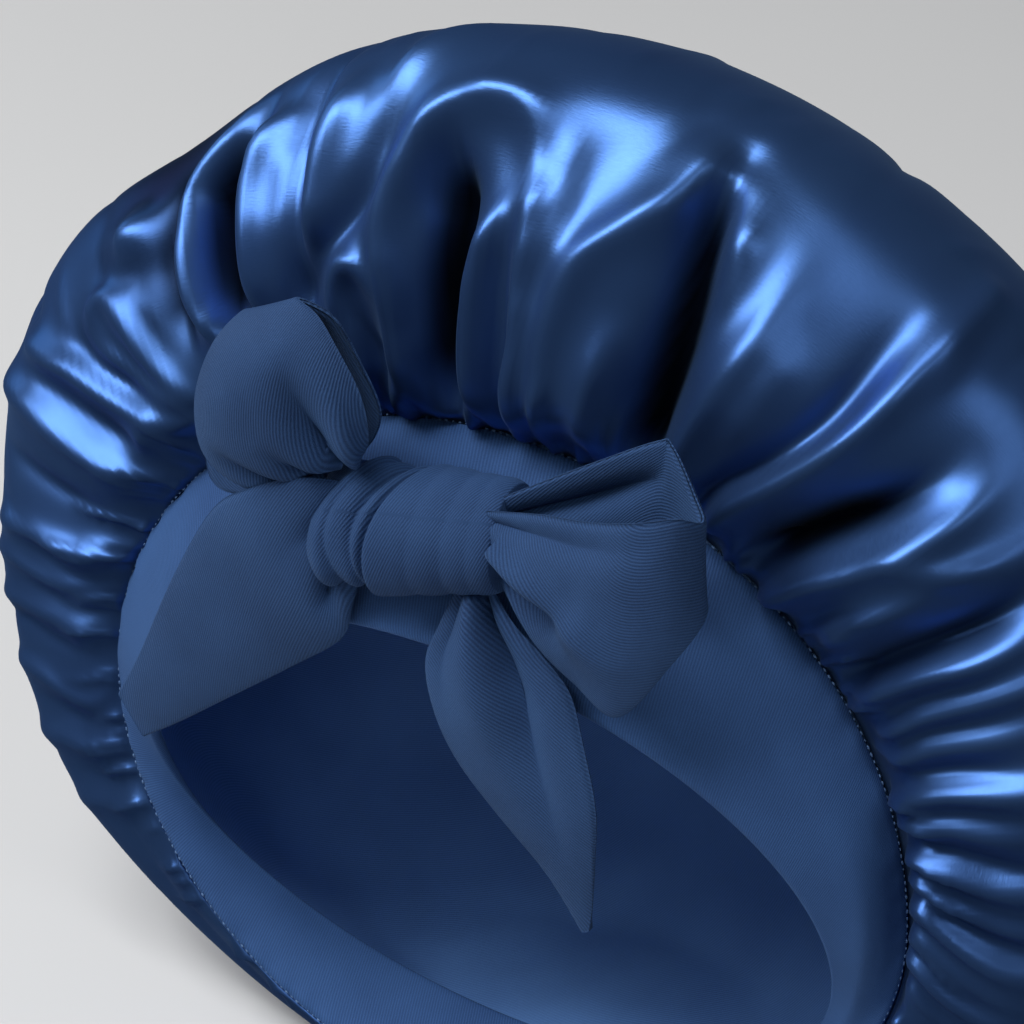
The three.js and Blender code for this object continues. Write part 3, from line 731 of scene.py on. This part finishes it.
def lowest_nearby(heights):
    """The lowest of each height and its neighbours, so that a coarser wall stays inside."""
    result = np.minimum(heights, np.minimum(np.roll(heights, 1, 1), np.roll(heights, -1, 1)))
    lower = result.copy()
    lower[1:] = np.minimum(lower[1:], result[:-1])
    lower[:-1] = np.minimum(lower[:-1], result[1:])
    return lower


def slump_heights(turned, places):
    """The heights of the broad rises and hollows."""
    total = np.zeros(turned.shape)
    for row in SLUMPS:
        away = away_from(turned, row["angle"])
        reach = (away / row["width"]) ** 2 + ((places[:, None] - row["along"]) / row["extent"]) ** 2
        total += row["height"] * np.exp(-reach)
    return total


def crown_surface():
    """The crown's plain net, the heights of its folds, and the angles that its columns reach."""
    angles = crown_angles()
    places = np.linspace(0, 1, CROWN_STEPS["along"] + 1)[:-1] ** 1.2
    turned = angles[None, :] + drift_of(angles)[None, :] * turning(places)[:, None]
    pairs = crown_base(turned.ravel(), np.repeat(places, len(angles)))
    plain = pairs.reshape(len(places), len(angles), 3)
    tuck = on_band(angles, 1.0, -0.15 * BAND_THICKNESS) - plain[0]
    plain = plain + tuck[None] * (1 - smoothstep(places, 0, 0.08))[:, None, None]
    heights = slump_heights(turned, places)
    for row in FOLDS:
        add_fold(heights, plain, row)
    heights = soften(soften(heights)) * smoothstep(places, 0.0, 0.04)[:, None]
    for row in seam_gathers() + faint_wrinkles() + back_folds():
        add_fold(heights, plain, row)
    heights *= (1 - smoothstep(places, 0.9, 1.0))[:, None]
    return plain, heights, turned


def closed_bag(rows, columns, end, start=0, inwards=False):
    """Faces of a net of rows that closes on itself round about and ends in one point."""
    faces = grid_faces(rows, columns, start, flip=not inwards)
    last = start + columns * (rows - 1)
    for i in range(columns):
        n = (i + 1) % columns
        faces.append((last + n, end, last + i) if inwards else (last + i, end, last + n))
    return faces


def seam_edge(around, start, inner_around, every):
    """Faces that join the outer wall's first row to the coarser first row of the inner wall."""
    faces = []
    for i in range(inner_around):
        n = (i + 1) % inner_around
        half = every // 2
        for k in range(every):
            corner = start + (i if k < half else n)
            faces.append((every * i + k, (every * i + k + 1) % around, corner))
        faces.append((every * i + half, start + n, start + i))
    return faces


def make_crown():
    """The crown: a finely folded outer wall, and a coarser inner wall that keeps inside it."""
    plain, heights, turned = crown_surface()
    normals = net_normals(plain)
    outer = plain + normals * heights[..., None]
    outer[..., 2] = np.maximum(outer[..., 2], 0)
    outer[0] = plain[0]
    count, around = heights.shape

    every = CROWN_STEPS["inner_every"]
    rows = np.arange(0, count, every)
    lowest = lowest_nearby(lowest_nearby(heights))
    inner = (plain + normals * (lowest - CROWN_THICKNESS)[..., None])[rows][:, ::every]
    inner[..., 2] = np.maximum(inner[..., 2], CROWN_THICKNESS)
    inner[0] = outer[0, ::every] - normals[0, ::every] * CROWN_THICKNESS
    inner_around = inner.shape[1]

    end = around * count
    start = end + 1
    inner_end = start + inner_around * len(rows)
    outer_end = np.array([CROWN_END], float)
    points = [outer.reshape(-1, 3), outer_end, inner.reshape(-1, 3), outer_end - (0, CROWN_THICKNESS, 0)]
    faces = closed_bag(count, around, end)
    faces += closed_bag(len(rows), inner_around, inner_end, start, inwards=True)
    faces += seam_edge(around, start, inner_around, every)

    lengths = np.linalg.norm(np.diff(plain, axis=0), axis=-1).mean(1)
    travelled = np.concatenate([[0], np.cumsum(lengths)])
    arc = np.radians(turned) * CROWN_CLOTH_RADIUS
    uv = np.stack([arc, np.broadcast_to(travelled[:, None], turned.shape)], -1)
    end_uv = [[0, travelled[-1]]]
    uv = np.concatenate([uv.reshape(-1, 2), end_uv, uv[rows][:, ::every].reshape(-1, 2), end_uv])
    crown_piece = make_piece("crown_cloth", np.concatenate(points), faces, SATIN, uv)
    # painted shade: how dark each point of the satin is painted, from the depth of its hollow
    depth = np.zeros(len(crown_piece.data.vertices), np.float32)
    depth[:end] = smoothstep(-heights, *FOLD_SHADE_DEPTHS).ravel()
    attribute = crown_piece.data.attributes.new("painted_fold_shade", "FLOAT", "POINT")
    attribute.data.foreach_set("value", depth)
    return crown_piece


# ---------------------------------------------------------------- lining

def lining_waves(angles, places):
    """Slack cloth: shallow folds that run back from the rim."""
    turn = np.radians(angles)[None, :]
    p = places[:, None]
    run = 1.6 * np.sin(7 * turn + 1.3 + 2 * p) + 1.1 * np.sin(13 * turn + 0.5 - 3 * p)
    return run * smoothstep(p, 0.08, 0.4) * (1 - smoothstep(p, 0.85, 1.0))


def make_lining():
    """The lining: a plain bag from the rim back, just inside the crown."""
    count = LINING_STEPS["around"]
    angles = np.arange(count) * 360.0 / count
    places = np.linspace(0, 1, LINING_STEPS["along"] + 1)[:-1]
    behind = BAND_THICKNESS / 2 + PIECE_GAP
    first = on_band(angles, 0.03, -behind)
    level = CROWN_THICKNESS + LINING_CLEARANCE
    net = shell_net(first, LINING_RINGS, LINING_END, angles, places, level)
    give = 1.5 * smoothstep(places, 0.0, 0.1) * (1 - smoothstep(places, 0.25, 0.6))
    net[..., 1] += give[:, None] * band_bend(angles)[None, :]  # it gives way behind the band's bend
    normals = net_normals(net)
    inner = net + normals * lining_waves(angles, places)[..., None]
    inner[..., 2] = np.maximum(inner[..., 2], level - 1)
    outer = inner + net_normals(inner) * LINING_THICKNESS
    rows = len(places)
    total = rows * count
    end = np.array([LINING_END], float)
    outer_end = end + (0, LINING_THICKNESS, 0)
    points = np.concatenate([outer.reshape(-1, 3), outer_end, inner.reshape(-1, 3), end])
    start = total + 1
    faces = closed_bag(rows, count, total)
    faces += closed_bag(rows, count, start + total, start, inwards=True)
    for i in range(count):
        n = (i + 1) % count
        faces.append((i, n, start + n, start + i))
    arc = np.radians(angles) * LINING_CLOTH["radius"]
    uv = np.stack(np.meshgrid(arc, places * LINING_CLOTH["length"]), -1).reshape(-1, 2)
    end_uv = [[0, LINING_CLOTH["length"]]]
    uv = np.concatenate([uv, end_uv, uv, end_uv])
    return make_piece("lining_cloth", points, faces, LINING_TWILL, uv)


# ---------------------------------------------------------------- bow

def section(left, right, puff=0.0):
    """A ribbon's section: its two edges, and how far the cloth between them puffs out in front."""
    return {"left": left, "right": right, "puff": puff}


LEFT_LOOP = [  # the front panel from the knot up to its fold, then the panel behind it
    section((-26, -21, 182), (-18, -19, 190), 1),
    section((-41, -25, 177), (-13, -22, 196), 4),
    section((-54, -26, 182), (-14, -23, 207), 7),
    section((-57, -25, 195), (-20, -23, 217), 8),
    section((-53, -23, 209), (-26, -21, 222), 5),
    section((-48, -18, 216), (-33, -18, 223), 1),
    section((-56, -13, 204), (-26, -15, 219), -2),
    section((-63, -11, 188), (-21, -13, 209), -3),
    section((-65, -12, 170), (-16, -13, 199), -2),
    section((-56, -13, 166), (-17, -14, 192), 0),
    section((-29, -15, 178), (-21, -15, 187)),
]
RIGHT_LOOP = [  # the front panel out to its fold, then the panel behind it; left is its upper edge
    section((17, -21, 187), (17, -21, 173), 1),
    section((34, -27, 194), (32, -26, 162), 3),
    section((47, -29, 197), (44, -28, 156), 4),
    section((59, -30.5, 201), (55, -29, 152), 3),
    section((67, -27.5, 203), (66, -27, 167), 2),
    section((69.5, -21, 200), (70.5, -21, 177), 1),
    section((65, -16, 202), (65, -15, 180), 0),
    section((57, -12, 210), (58, -12, 183), 0),
    section((53, -12, 210), (49, -12, 184), 0),
    section((35, -13, 199), (35, -13, 180), 0),
    section((17, -17, 188), (17, -17, 177)),
]
LEFT_TAIL = [
    section((-20, -20, 183), (-20, -19, 165), 1),
    section((-29, -26, 184), (-18, -23, 154), 2),
    section((-42, -27, 178), (-20, -24, 145), 4),
    section((-53, -26, 169), (-33, -25, 134), 4),
    section((-65, -26, 148), (-51, -26, 120), 3),
    section((-76, -26, 124), (-65, -26, 109), 1.5),
    section((-84, -25, 110), (-77, -25, 100)),
]
RIGHT_TAIL = [
    section((10, -20, 167), (17, -20, 169), 1),
    section((7, -24, 158), (24, -22, 162), 2),
    section((4, -26, 148), (33, -23, 156), 3),
    section((6, -26, 136), (40, -24, 150), 4),
    section((12, -26, 125), (44, -25, 139), 3),
    section((22, -26, 115), (48, -26, 124), 2),
    section((35, -26, 104), (48, -26, 110), 1),
    section((42, -25, 94), (47, -25, 98), 0.5),
    section((44.5, -25, 90), (46.5, -25, 91)),
]
RIBBON_STEPS = {"along": 120, "across": 56}
RIBBON_EDGE = {"from": 0.94, "thinning": 0.65}  # where across a ribbon its edge thins, and by what share
PUFF_POWER = 2.4  # how square a puffed section is
CREASE_POWER = 1.7  # how pointed a crease's section is

KNOT = {"middle": (-3, -18, 175.3), "half_length": 23, "lean": 42.5, "turn": -10.7}
KNOT_ENDS = {
    "left": {"half_height": 16.4, "half_depth": 10.6},
    "right": {"half_height": 11.8, "half_depth": 9.4},
}
KNOT_ROUNDING = {"left": (0.34, 5), "right": (0.10, 16)}  # share lost at each end, and how late
KNOT_STEPS = {"around": 150, "along": 150}
KNOT_SLANT = 1.2  # how far the knot's top leans along it
KNOT_CLOTH_RADIUS = 13  # turns angles into lengths of cloth round the knot
# Grooves round the knot: place along it (-1 to 1) at the front, how far that shifts towards the
# top and on both sides, depth (mm) and spread.
KNOT_GROOVES = [
    {"place": -0.76, "rise": 0.15, "bend": 0.26, "depth": 1.5, "spread": 0.055},
    {"place": -0.49, "rise": 0.15, "bend": 0.23, "depth": 2.0, "spread": 0.05},
    {"place": -0.27, "rise": 0.21, "bend": 0.15, "depth": 1.9, "spread": 0.035},
    {"place": 0.16, "rise": 0.05, "bend": 0.04, "depth": 0.45, "spread": 0.1},
    {"place": 0.5, "rise": 0.02, "bend": 0.02, "depth": 0.65, "spread": 0.1},
    {"place": 0.76, "rise": 0.0, "bend": 0.0, "depth": 0.35, "spread": 0.08},
]
GROOVE_POWER = 1.4  # how pointed a groove's section is
WRAP_EDGE = 2  # the groove at the front wrap's left edge
KNOT_OVERLAP = 1.3  # how far the front wrap stands over the ones left of it


def pleat(start, end, depth, spread):
    """A crease of a ribbon: its two ends as (place along, place across from -1 to 1), its depth
    (mm, a ridge below zero) and its spread across at both ends. It fades towards its end."""
    return {"start": start, "end": end, "depth": depth, "spread": spread}


LEFT_LOOP_CREASES = [
    pleat((0.0, 0.42), (0.36, 0.5), 6.3, (0.12, 0.2)),
    pleat((0.0, 0.72), (0.36, 0.8), -2.4, (0.1, 0.12)),
    pleat((0.0, -0.15), (0.2, -0.05), 4.5, (0.14, 0.12)),
    pleat((0.0, -0.5), (0.24, -0.72), 5.7, (0.16, 0.14)),
]
RIGHT_LOOP_CREASES = [
    pleat((0.0, 0.75), (0.24, -0.05), 6.8, (0.2, 0.3)),
    pleat((0.04, -0.2), (0.36, 0.55), -3.9, (0.2, 0.3)),
    pleat((0.0, -0.7), (0.4, -0.75), 2.1, (0.15, 0.15)),
    pleat((1.0, 0.0), (0.7, -0.3), 4.5, (0.3, 0.3)),
]
LEFT_TAIL_CREASES = [
    pleat((0.0, 0.35), (0.36, 0.62), 7.5, (0.22, 0.14)),
    pleat((0.0, 0.8), (0.3, 0.86), -2.4, (0.15, 0.12)),
    pleat((0.0, -0.3), (0.4, -0.1), 1.5, (0.2, 0.25)),
]
RIGHT_TAIL_CREASES = [
    pleat((0.0, 0.55), (0.75, 0.1), 7.8, (0.2, 0.26)),
    pleat((0.05, 0.0), (0.6, -0.25), -2.1, (0.3, 0.3)),
    pleat((0.0, -0.5), (0.45, -0.75), 1.5, (0.2, 0.2)),
]


def grid_normals(grid):
    """Normals of an open grid of points."""
    return unit(np.cross(np.gradient(grid, axis=0), np.gradient(grid, axis=1)))


def crease_relief(row, places, sides):
    """How far one crease sinks the cloth over a ribbon's grid (a ridge below zero)."""
    low, high = row["start"], row["end"]
    length = abs(high[0] - low[0])
    share = np.clip((places - low[0]) / (high[0] - low[0]), 0, 1)
    centre = low[1] + (high[1] - low[1]) * share
    strength = (1 - smoothstep(np.abs(places - low[0]), 0.35 * length, length))
    strength = strength * ((places - low[0]) * (high[0] - low[0]) >= -1e-9)
    spread = row["spread"][0] + (row["spread"][1] - row["spread"][0]) * share
    away = (sides[None, :] - centre[:, None]) / spread[:, None]
    return row["depth"] * strength[:, None] * np.exp(-np.abs(away) ** CREASE_POWER)


def ribbon_grid(rows, creases):
    """The middle surface of a ribbon, and the lengths along and across its cloth."""
    places = np.linspace(0, 1, RIBBON_STEPS["along"] + 1)
    sides = np.linspace(-1, 1, RIBBON_STEPS["across"] + 1)
    left = spline([r["left"] for r in rows], places)
    right = spline([r["right"] for r in rows], places)
    puff = spline([[r["puff"]] for r in rows], places)
    middle, edge = (left + right) / 2, (right - left) / 2
    grid = middle[:, None, :] + edge[:, None, :] * sides[None, :, None]
    grid[..., 1] -= puff * (1 - np.abs(sides[None, :]) ** PUFF_POWER)
    normal = grid_normals(grid)
    normal *= -np.sign(normal[..., 1:2])
    relief = np.zeros(grid.shape[:2])
    for row in creases:
        relief -= crease_relief(row, places, sides)
    grid = grid + normal * relief[..., None]
    along = np.concatenate([[0], np.cumsum(np.linalg.norm(np.diff(middle, axis=0), axis=1))])
    across = np.linalg.norm(edge, axis=1)[:, None] * sides[None, :]
    uv = np.stack([np.broadcast_to(along[:, None], across.shape), across], -1)
    return grid, uv


def solid_ribbon(name, rows, creases):
    """A ribbon with a wall: two faces, thinner towards its long edges, and closed all round."""
    grid, uv = ribbon_grid(rows, creases)
    rows_count, columns = grid.shape[:2]
    across = np.linspace(-1, 1, columns)
    rounding = 1 - RIBBON_EDGE["thinning"] * smoothstep(np.abs(across), RIBBON_EDGE["from"], 1.0)
    lift = grid_normals(grid) * (0.5 * RIBBON_THICKNESS * rounding)[None, :, None]
    top, bottom = grid + lift, grid - lift
    points = np.concatenate([top.reshape(-1, 3), bottom.reshape(-1, 3)])
    total = rows_count * columns
    faces = grid_faces(rows_count, columns, closed=False, flip=True)
    faces += grid_faces(rows_count, columns, total, closed=False)
    for j in range(rows_count - 1):
        for i in (0, columns - 1):
            a, b = j * columns + i, (j + 1) * columns + i
            quad = (a, b, total + b, total + a)
            faces.append(quad if i == 0 else quad[::-1])
    for i in range(columns - 1):
        for j in (0, rows_count - 1):
            a, b = j * columns + i, j * columns + i + 1
            quad = (a, b, total + b, total + a)
            faces.append(quad[::-1] if j == 0 else quad)
    flat_uv = uv.reshape(-1, 2)
    return outward(make_piece(name, points, faces, SHADED_BOW_TWILL, np.concatenate([flat_uv, flat_uv])))


def outward(piece):
    """Turns a closed mesh so that its faces point out."""
    mesh = bmesh.new()
    mesh.from_mesh(piece.data)
    if mesh.calc_volume(signed=True) < 0:
        bmesh.ops.reverse_faces(mesh, faces=mesh.faces)
    mesh.to_mesh(piece.data)
    mesh.free()
    return piece


def groove_place(row, theta):
    """Where along the knot a groove lies, at angles round it."""
    return row["place"] + row["rise"] * np.sin(theta) + row["bend"] * np.sin(theta) ** 2


def knot_relief(s, theta):
    """How far the knot's cloth stands out, at a place along it and the angles round it."""
    relief = np.zeros(len(theta))
    for row in KNOT_GROOVES:
        away = np.abs(s - groove_place(row, theta)) / row["spread"]
        relief -= row["depth"] * np.exp(-away**GROOVE_POWER)
    place = groove_place(KNOT_GROOVES[WRAP_EDGE], theta)
    relief += KNOT_OVERLAP * smoothstep(s - place, -0.02, 0.05)
    # the cloth left of the front wrap lies in rolls
    lobes = 0.8 * np.cos(4 * math.pi * (s - place)) * smoothstep(place - s, 0.0, 0.15)
    return relief + lobes


def knot_ring(s, theta):
    """One ring of the knot's points, at a place along it from -1 to 1."""
    share = (s + 1) / 2
    lost, power = KNOT_ROUNDING["left" if s < 0 else "right"]
    size = {
        key: (KNOT_ENDS["left"][key] * (1 - share) + KNOT_ENDS["right"][key] * share)
        * (1 - lost * abs(s) ** power)
        for key in ("half_height", "half_depth")
    }
    relief = knot_relief(s, theta)
    x = np.full(len(theta), s * KNOT["half_length"]) + KNOT_SLANT * np.sin(theta)
    y = -(size["half_depth"] + relief) * np.cos(theta)
    z = (size["half_height"] + relief) * np.sin(theta)
    return np.stack([x, y, z], -1)


def make_knot():
    """The knot: a strip wrapped round the ribbons, with grooves between its folds."""
    around, along = KNOT_STEPS["around"], KNOT_STEPS["along"]
    theta = np.linspace(0, 2 * math.pi, around, endpoint=False)
    sides = np.linspace(-1, 1, along)
    net = np.array([knot_ring(s, theta) for s in sides])
    lean = np.array(Matrix.Rotation(-math.radians(KNOT["lean"]), 3, "X"))
    turn = np.array(Matrix.Rotation(math.radians(KNOT["turn"]), 3, "Y"))
    net = net @ (lean @ turn).T + KNOT["middle"]
    caps = [net[0].mean(0), net[-1].mean(0)]
    faces = grid_faces(along, around)
    total = along * around
    last = total - around
    for i in range(around):
        n = (i + 1) % around
        faces.append((n, i, total))
        faces.append((last + i, last + n, total + 1))
    uv = np.stack(np.meshgrid(theta * KNOT_CLOTH_RADIUS, sides * KNOT["half_length"]), -1)
    uv = np.concatenate([uv.reshape(-1, 2), [[0, 0], [0, 0]]])
    points = np.concatenate([net.reshape(-1, 3), caps])
    return outward(make_piece("knot_cloth", points, faces, SHADED_BOW_TWILL, uv))


crown = make_crown()
lining = make_lining()
band = make_band()
knot = make_knot()
loop_left = solid_ribbon("loop_left_cloth", LEFT_LOOP, LEFT_LOOP_CREASES)
loop_right = solid_ribbon("loop_right_cloth", RIGHT_LOOP, RIGHT_LOOP_CREASES)
tail_left = solid_ribbon("tail_left_cloth", LEFT_TAIL, LEFT_TAIL_CREASES)
tail_right = solid_ribbon("tail_right_cloth", RIGHT_TAIL, RIGHT_TAIL_CREASES)

for piece, node, slot in [
    (crown, "crown", "crown_satin"),
    (lining, "lining", "lining_cloth"),
    (band, "band", "band_twill"),
    (knot, "bow_knot", "band_twill"),
    (loop_left, "bow_loop_left", "band_twill"),
    (loop_right, "bow_loop_right", "band_twill"),
    (tail_left, "tie_tail_left", "band_twill"),
    (tail_right, "tie_tail_right", "band_twill"),
]:
    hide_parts(node)
    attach(piece, "root")


# ---------------------------------------------------------------- seam stitches

# Metres, and the seed of the stitches' unevenness.
STITCHES = {"Spacing": 0.0018, "Length": 0.001, "Thickness": 0.00042, "Seed": 3}
STITCH_LINE = {"along": 0.992, "height": 0.9}  # where they lie on the band


def stitch_tree(material):
    """A node tree that lays small stitches along a closed line of edges."""
    tree = bpy.data.node_groups.new("seam_stitch_row", "GeometryNodeTree")
    face = tree.interface
    face.new_socket("Geometry", in_out="INPUT", socket_type="NodeSocketGeometry")
    for name in ("Spacing", "Length", "Thickness"):
        face.new_socket(name, in_out="INPUT", socket_type="NodeSocketFloat")
    face.new_socket("Seed", in_out="INPUT", socket_type="NodeSocketInt")
    face.new_socket("Geometry", in_out="OUTPUT", socket_type="NodeSocketGeometry")

    def add(kind, **settings):
        node = tree.nodes.new(kind)
        for key, value in settings.items():
            setattr(node, key, value)
        return node

    given, result = add("NodeGroupInput"), add("NodeGroupOutput")
    curve = add("GeometryNodeMeshToCurve")
    spaced = add("GeometryNodeResampleCurve", mode="LENGTH")
    bead = add("GeometryNodeMeshUVSphere")
    bead.inputs["Segments"].default_value = 6
    bead.inputs["Rings"].default_value = 4
    bead.inputs["Radius"].default_value = 0.5
    shape = add("ShaderNodeCombineXYZ")
    stretched = add("GeometryNodeTransform")
    tangent = add("GeometryNodeInputTangent")
    turned = add("FunctionNodeAlignRotationToVector", axis="X")
    uneven = add("FunctionNodeRandomValue", data_type="FLOAT")
    uneven.inputs[2].default_value = 0.6
    uneven.inputs[3].default_value = 1.3
    placed = add("GeometryNodeInstanceOnPoints")
    real = add("GeometryNodeRealizeInstances")
    smooth = add("GeometryNodeSetShadeSmooth")
    painted = add("GeometryNodeSetMaterial")
    painted.inputs["Material"].default_value = material
    for source, output, target, given_to in [
        (given, "Geometry", curve, "Mesh"),
        (curve, "Curve", spaced, "Curve"),
        (given, "Spacing", spaced, "Length"),
        (given, "Length", shape, "X"),
        (given, "Thickness", shape, "Y"),
        (given, "Thickness", shape, "Z"),
        (bead, "Mesh", stretched, "Geometry"),
        (shape, "Vector", stretched, "Scale"),
        (tangent, "Tangent", turned, "Vector"),
        (given, "Seed", uneven, "Seed"),
        (spaced, "Curve", placed, "Points"),
        (stretched, "Geometry", placed, "Instance"),
        (turned, "Rotation", placed, "Rotation"),
        (uneven, 1, placed, "Scale"),
        (placed, "Instances", real, "Geometry"),
        (real, "Geometry", smooth, "Geometry"),
        (smooth, "Geometry", painted, "Geometry"),
        (painted, "Geometry", result, "Geometry"),
    ]:
        tree.links.new(source.outputs[output], target.inputs[given_to])
    return tree


def make_stitches():
    """The row of stitches along the seam, as one plain mesh."""
    angles = np.arange(0, 360, 0.5)
    line = on_band(angles, STITCH_LINE["along"], STITCH_LINE["height"])
    mesh = bpy.data.meshes.new("seam_line")
    edges = [(i, (i + 1) % len(angles)) for i in range(len(angles))]
    mesh.from_pydata(((line + OPENING) * METRES).tolist(), edges, [])
    carrier = bpy.data.objects.new("seam_line", mesh)
    bpy.context.scene.collection.objects.link(carrier)
    modifier = carrier.modifiers.new("stitches", "NODES")
    modifier.node_group = stitch_tree(THREAD)
    for item in modifier.node_group.interface.items_tree:
        if item.in_out == "INPUT" and item.name in STITCHES:
            modifier[item.identifier] = STITCHES[item.name]
    evaluated = carrier.evaluated_get(bpy.context.evaluated_depsgraph_get())
    baked = bpy.data.meshes.new_from_object(evaluated)
    carrier.modifiers.remove(modifier)
    bpy.data.objects.remove(carrier)
    piece = bpy.data.objects.new("seam_stitches", baked)
    bpy.context.scene.collection.objects.link(piece)
    return piece


stitches = make_stitches()
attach(stitches, "root")


# ---------------------------------------------------------------- studio

FLOOR_SIZE = 12.0  # metres


def make_floor():
    """A wide pale floor that the satin doesn't mirror."""
    half = FLOOR_SIZE / 2
    corners = [(-half, -half, 0), (half, -half, 0), (half, half, 0), (-half, half, 0)]
    mesh = bpy.data.meshes.new("studio_floor")
    mesh.from_pydata(corners, [], [(0, 1, 2, 3)])
    mesh.materials.append(floor_paint())
    floor = bpy.data.objects.new("studio_floor", mesh)
    bpy.context.scene.collection.objects.link(floor)
    floor.visible_glossy = False


def point_at(thing, target):
    """Turns a camera or a light so that it looks at a target."""
    thing.rotation_euler = (Vector(target) - thing.location).to_track_quat("-Z", "Y").to_euler()


def direction(azimuth, elevation):
    """The way from the bonnet to something seen at an azimuth and elevation, in degrees."""
    a, e = math.radians(azimuth), math.radians(elevation)
    return Vector((math.cos(e) * math.sin(a), -math.cos(e) * math.cos(a), math.sin(e)))


# Degrees round and up, millimetres away and aside, and the lens in its own millimetres.
CAMERA = {"azimuth": 32.3, "elevation": 29.1, "distance": 864, "lens": 129.6, "right": 8.4, "up": 76.7}


def make_camera():
    """The camera, from above and to the right of the face opening."""
    way = direction(CAMERA["azimuth"], CAMERA["elevation"])
    turn = math.radians(CAMERA["azimuth"])
    right = Vector((math.cos(turn), math.sin(turn), 0))
    up = way.cross(right)
    middle = Vector((0, 0, RIM["z"])) + Vector(OPENING)
    target = middle + right * CAMERA["right"] + up * CAMERA["up"]
    camera = bpy.data.objects.new("camera", bpy.data.cameras.new("camera"))
    camera.data.lens = CAMERA["lens"]
    camera.data.clip_start = 0.01
    camera.location = (target + way * CAMERA["distance"]) * METRES
    bpy.context.scene.collection.objects.link(camera)
    point_at(camera, target * METRES)
    bpy.context.scene.camera = camera


# Metres and watts. The front light fills the opening and leaves no gloss on the satin.
LIGHTS = {
    "key": {"azimuth": -46, "elevation": 50, "distance": 2.6, "size": 1.3, "power": 54},
    "left": {"azimuth": -97, "elevation": 24, "distance": 2.2, "size": 0.9, "power": 4},
    "top": {"azimuth": -14, "elevation": 67, "distance": 2.4, "size": 0.8, "power": 20},
    "right": {"azimuth": 62, "elevation": 40, "distance": 2.4, "size": 0.6, "power": 4},
    "front": {"azimuth": 14, "elevation": 36, "distance": 2.6, "size": 1.2, "power": 7},
}
LIGHTS_AIM = (0, 0, 0.13)


def make_lights():
    """Soft square lights round the bonnet, and a faint even sky."""
    middle = Vector(LIGHTS_AIM)
    for name, row in LIGHTS.items():
        data = bpy.data.lights.new(name, "AREA")
        data.shape = "SQUARE"
        data.size = row["size"]
        data.energy = row["power"]
        light = bpy.data.objects.new(name, data)
        light.location = middle + direction(row["azimuth"], row["elevation"]) * row["distance"]
        bpy.context.scene.collection.objects.link(light)
        light.visible_glossy = name != "front"
        point_at(light, middle)
    world = bpy.data.worlds.new("studio")
    world.use_nodes = True
    sky = world.node_tree.nodes["Background"]
    sky.inputs["Color"].default_value = (0.72, 0.73, 0.75, 1)
    sky.inputs["Strength"].default_value = 0.1
    bpy.context.scene.world = world
    bpy.context.scene.view_settings.view_transform = "Standard"


make_floor()
make_camera()
make_lights()
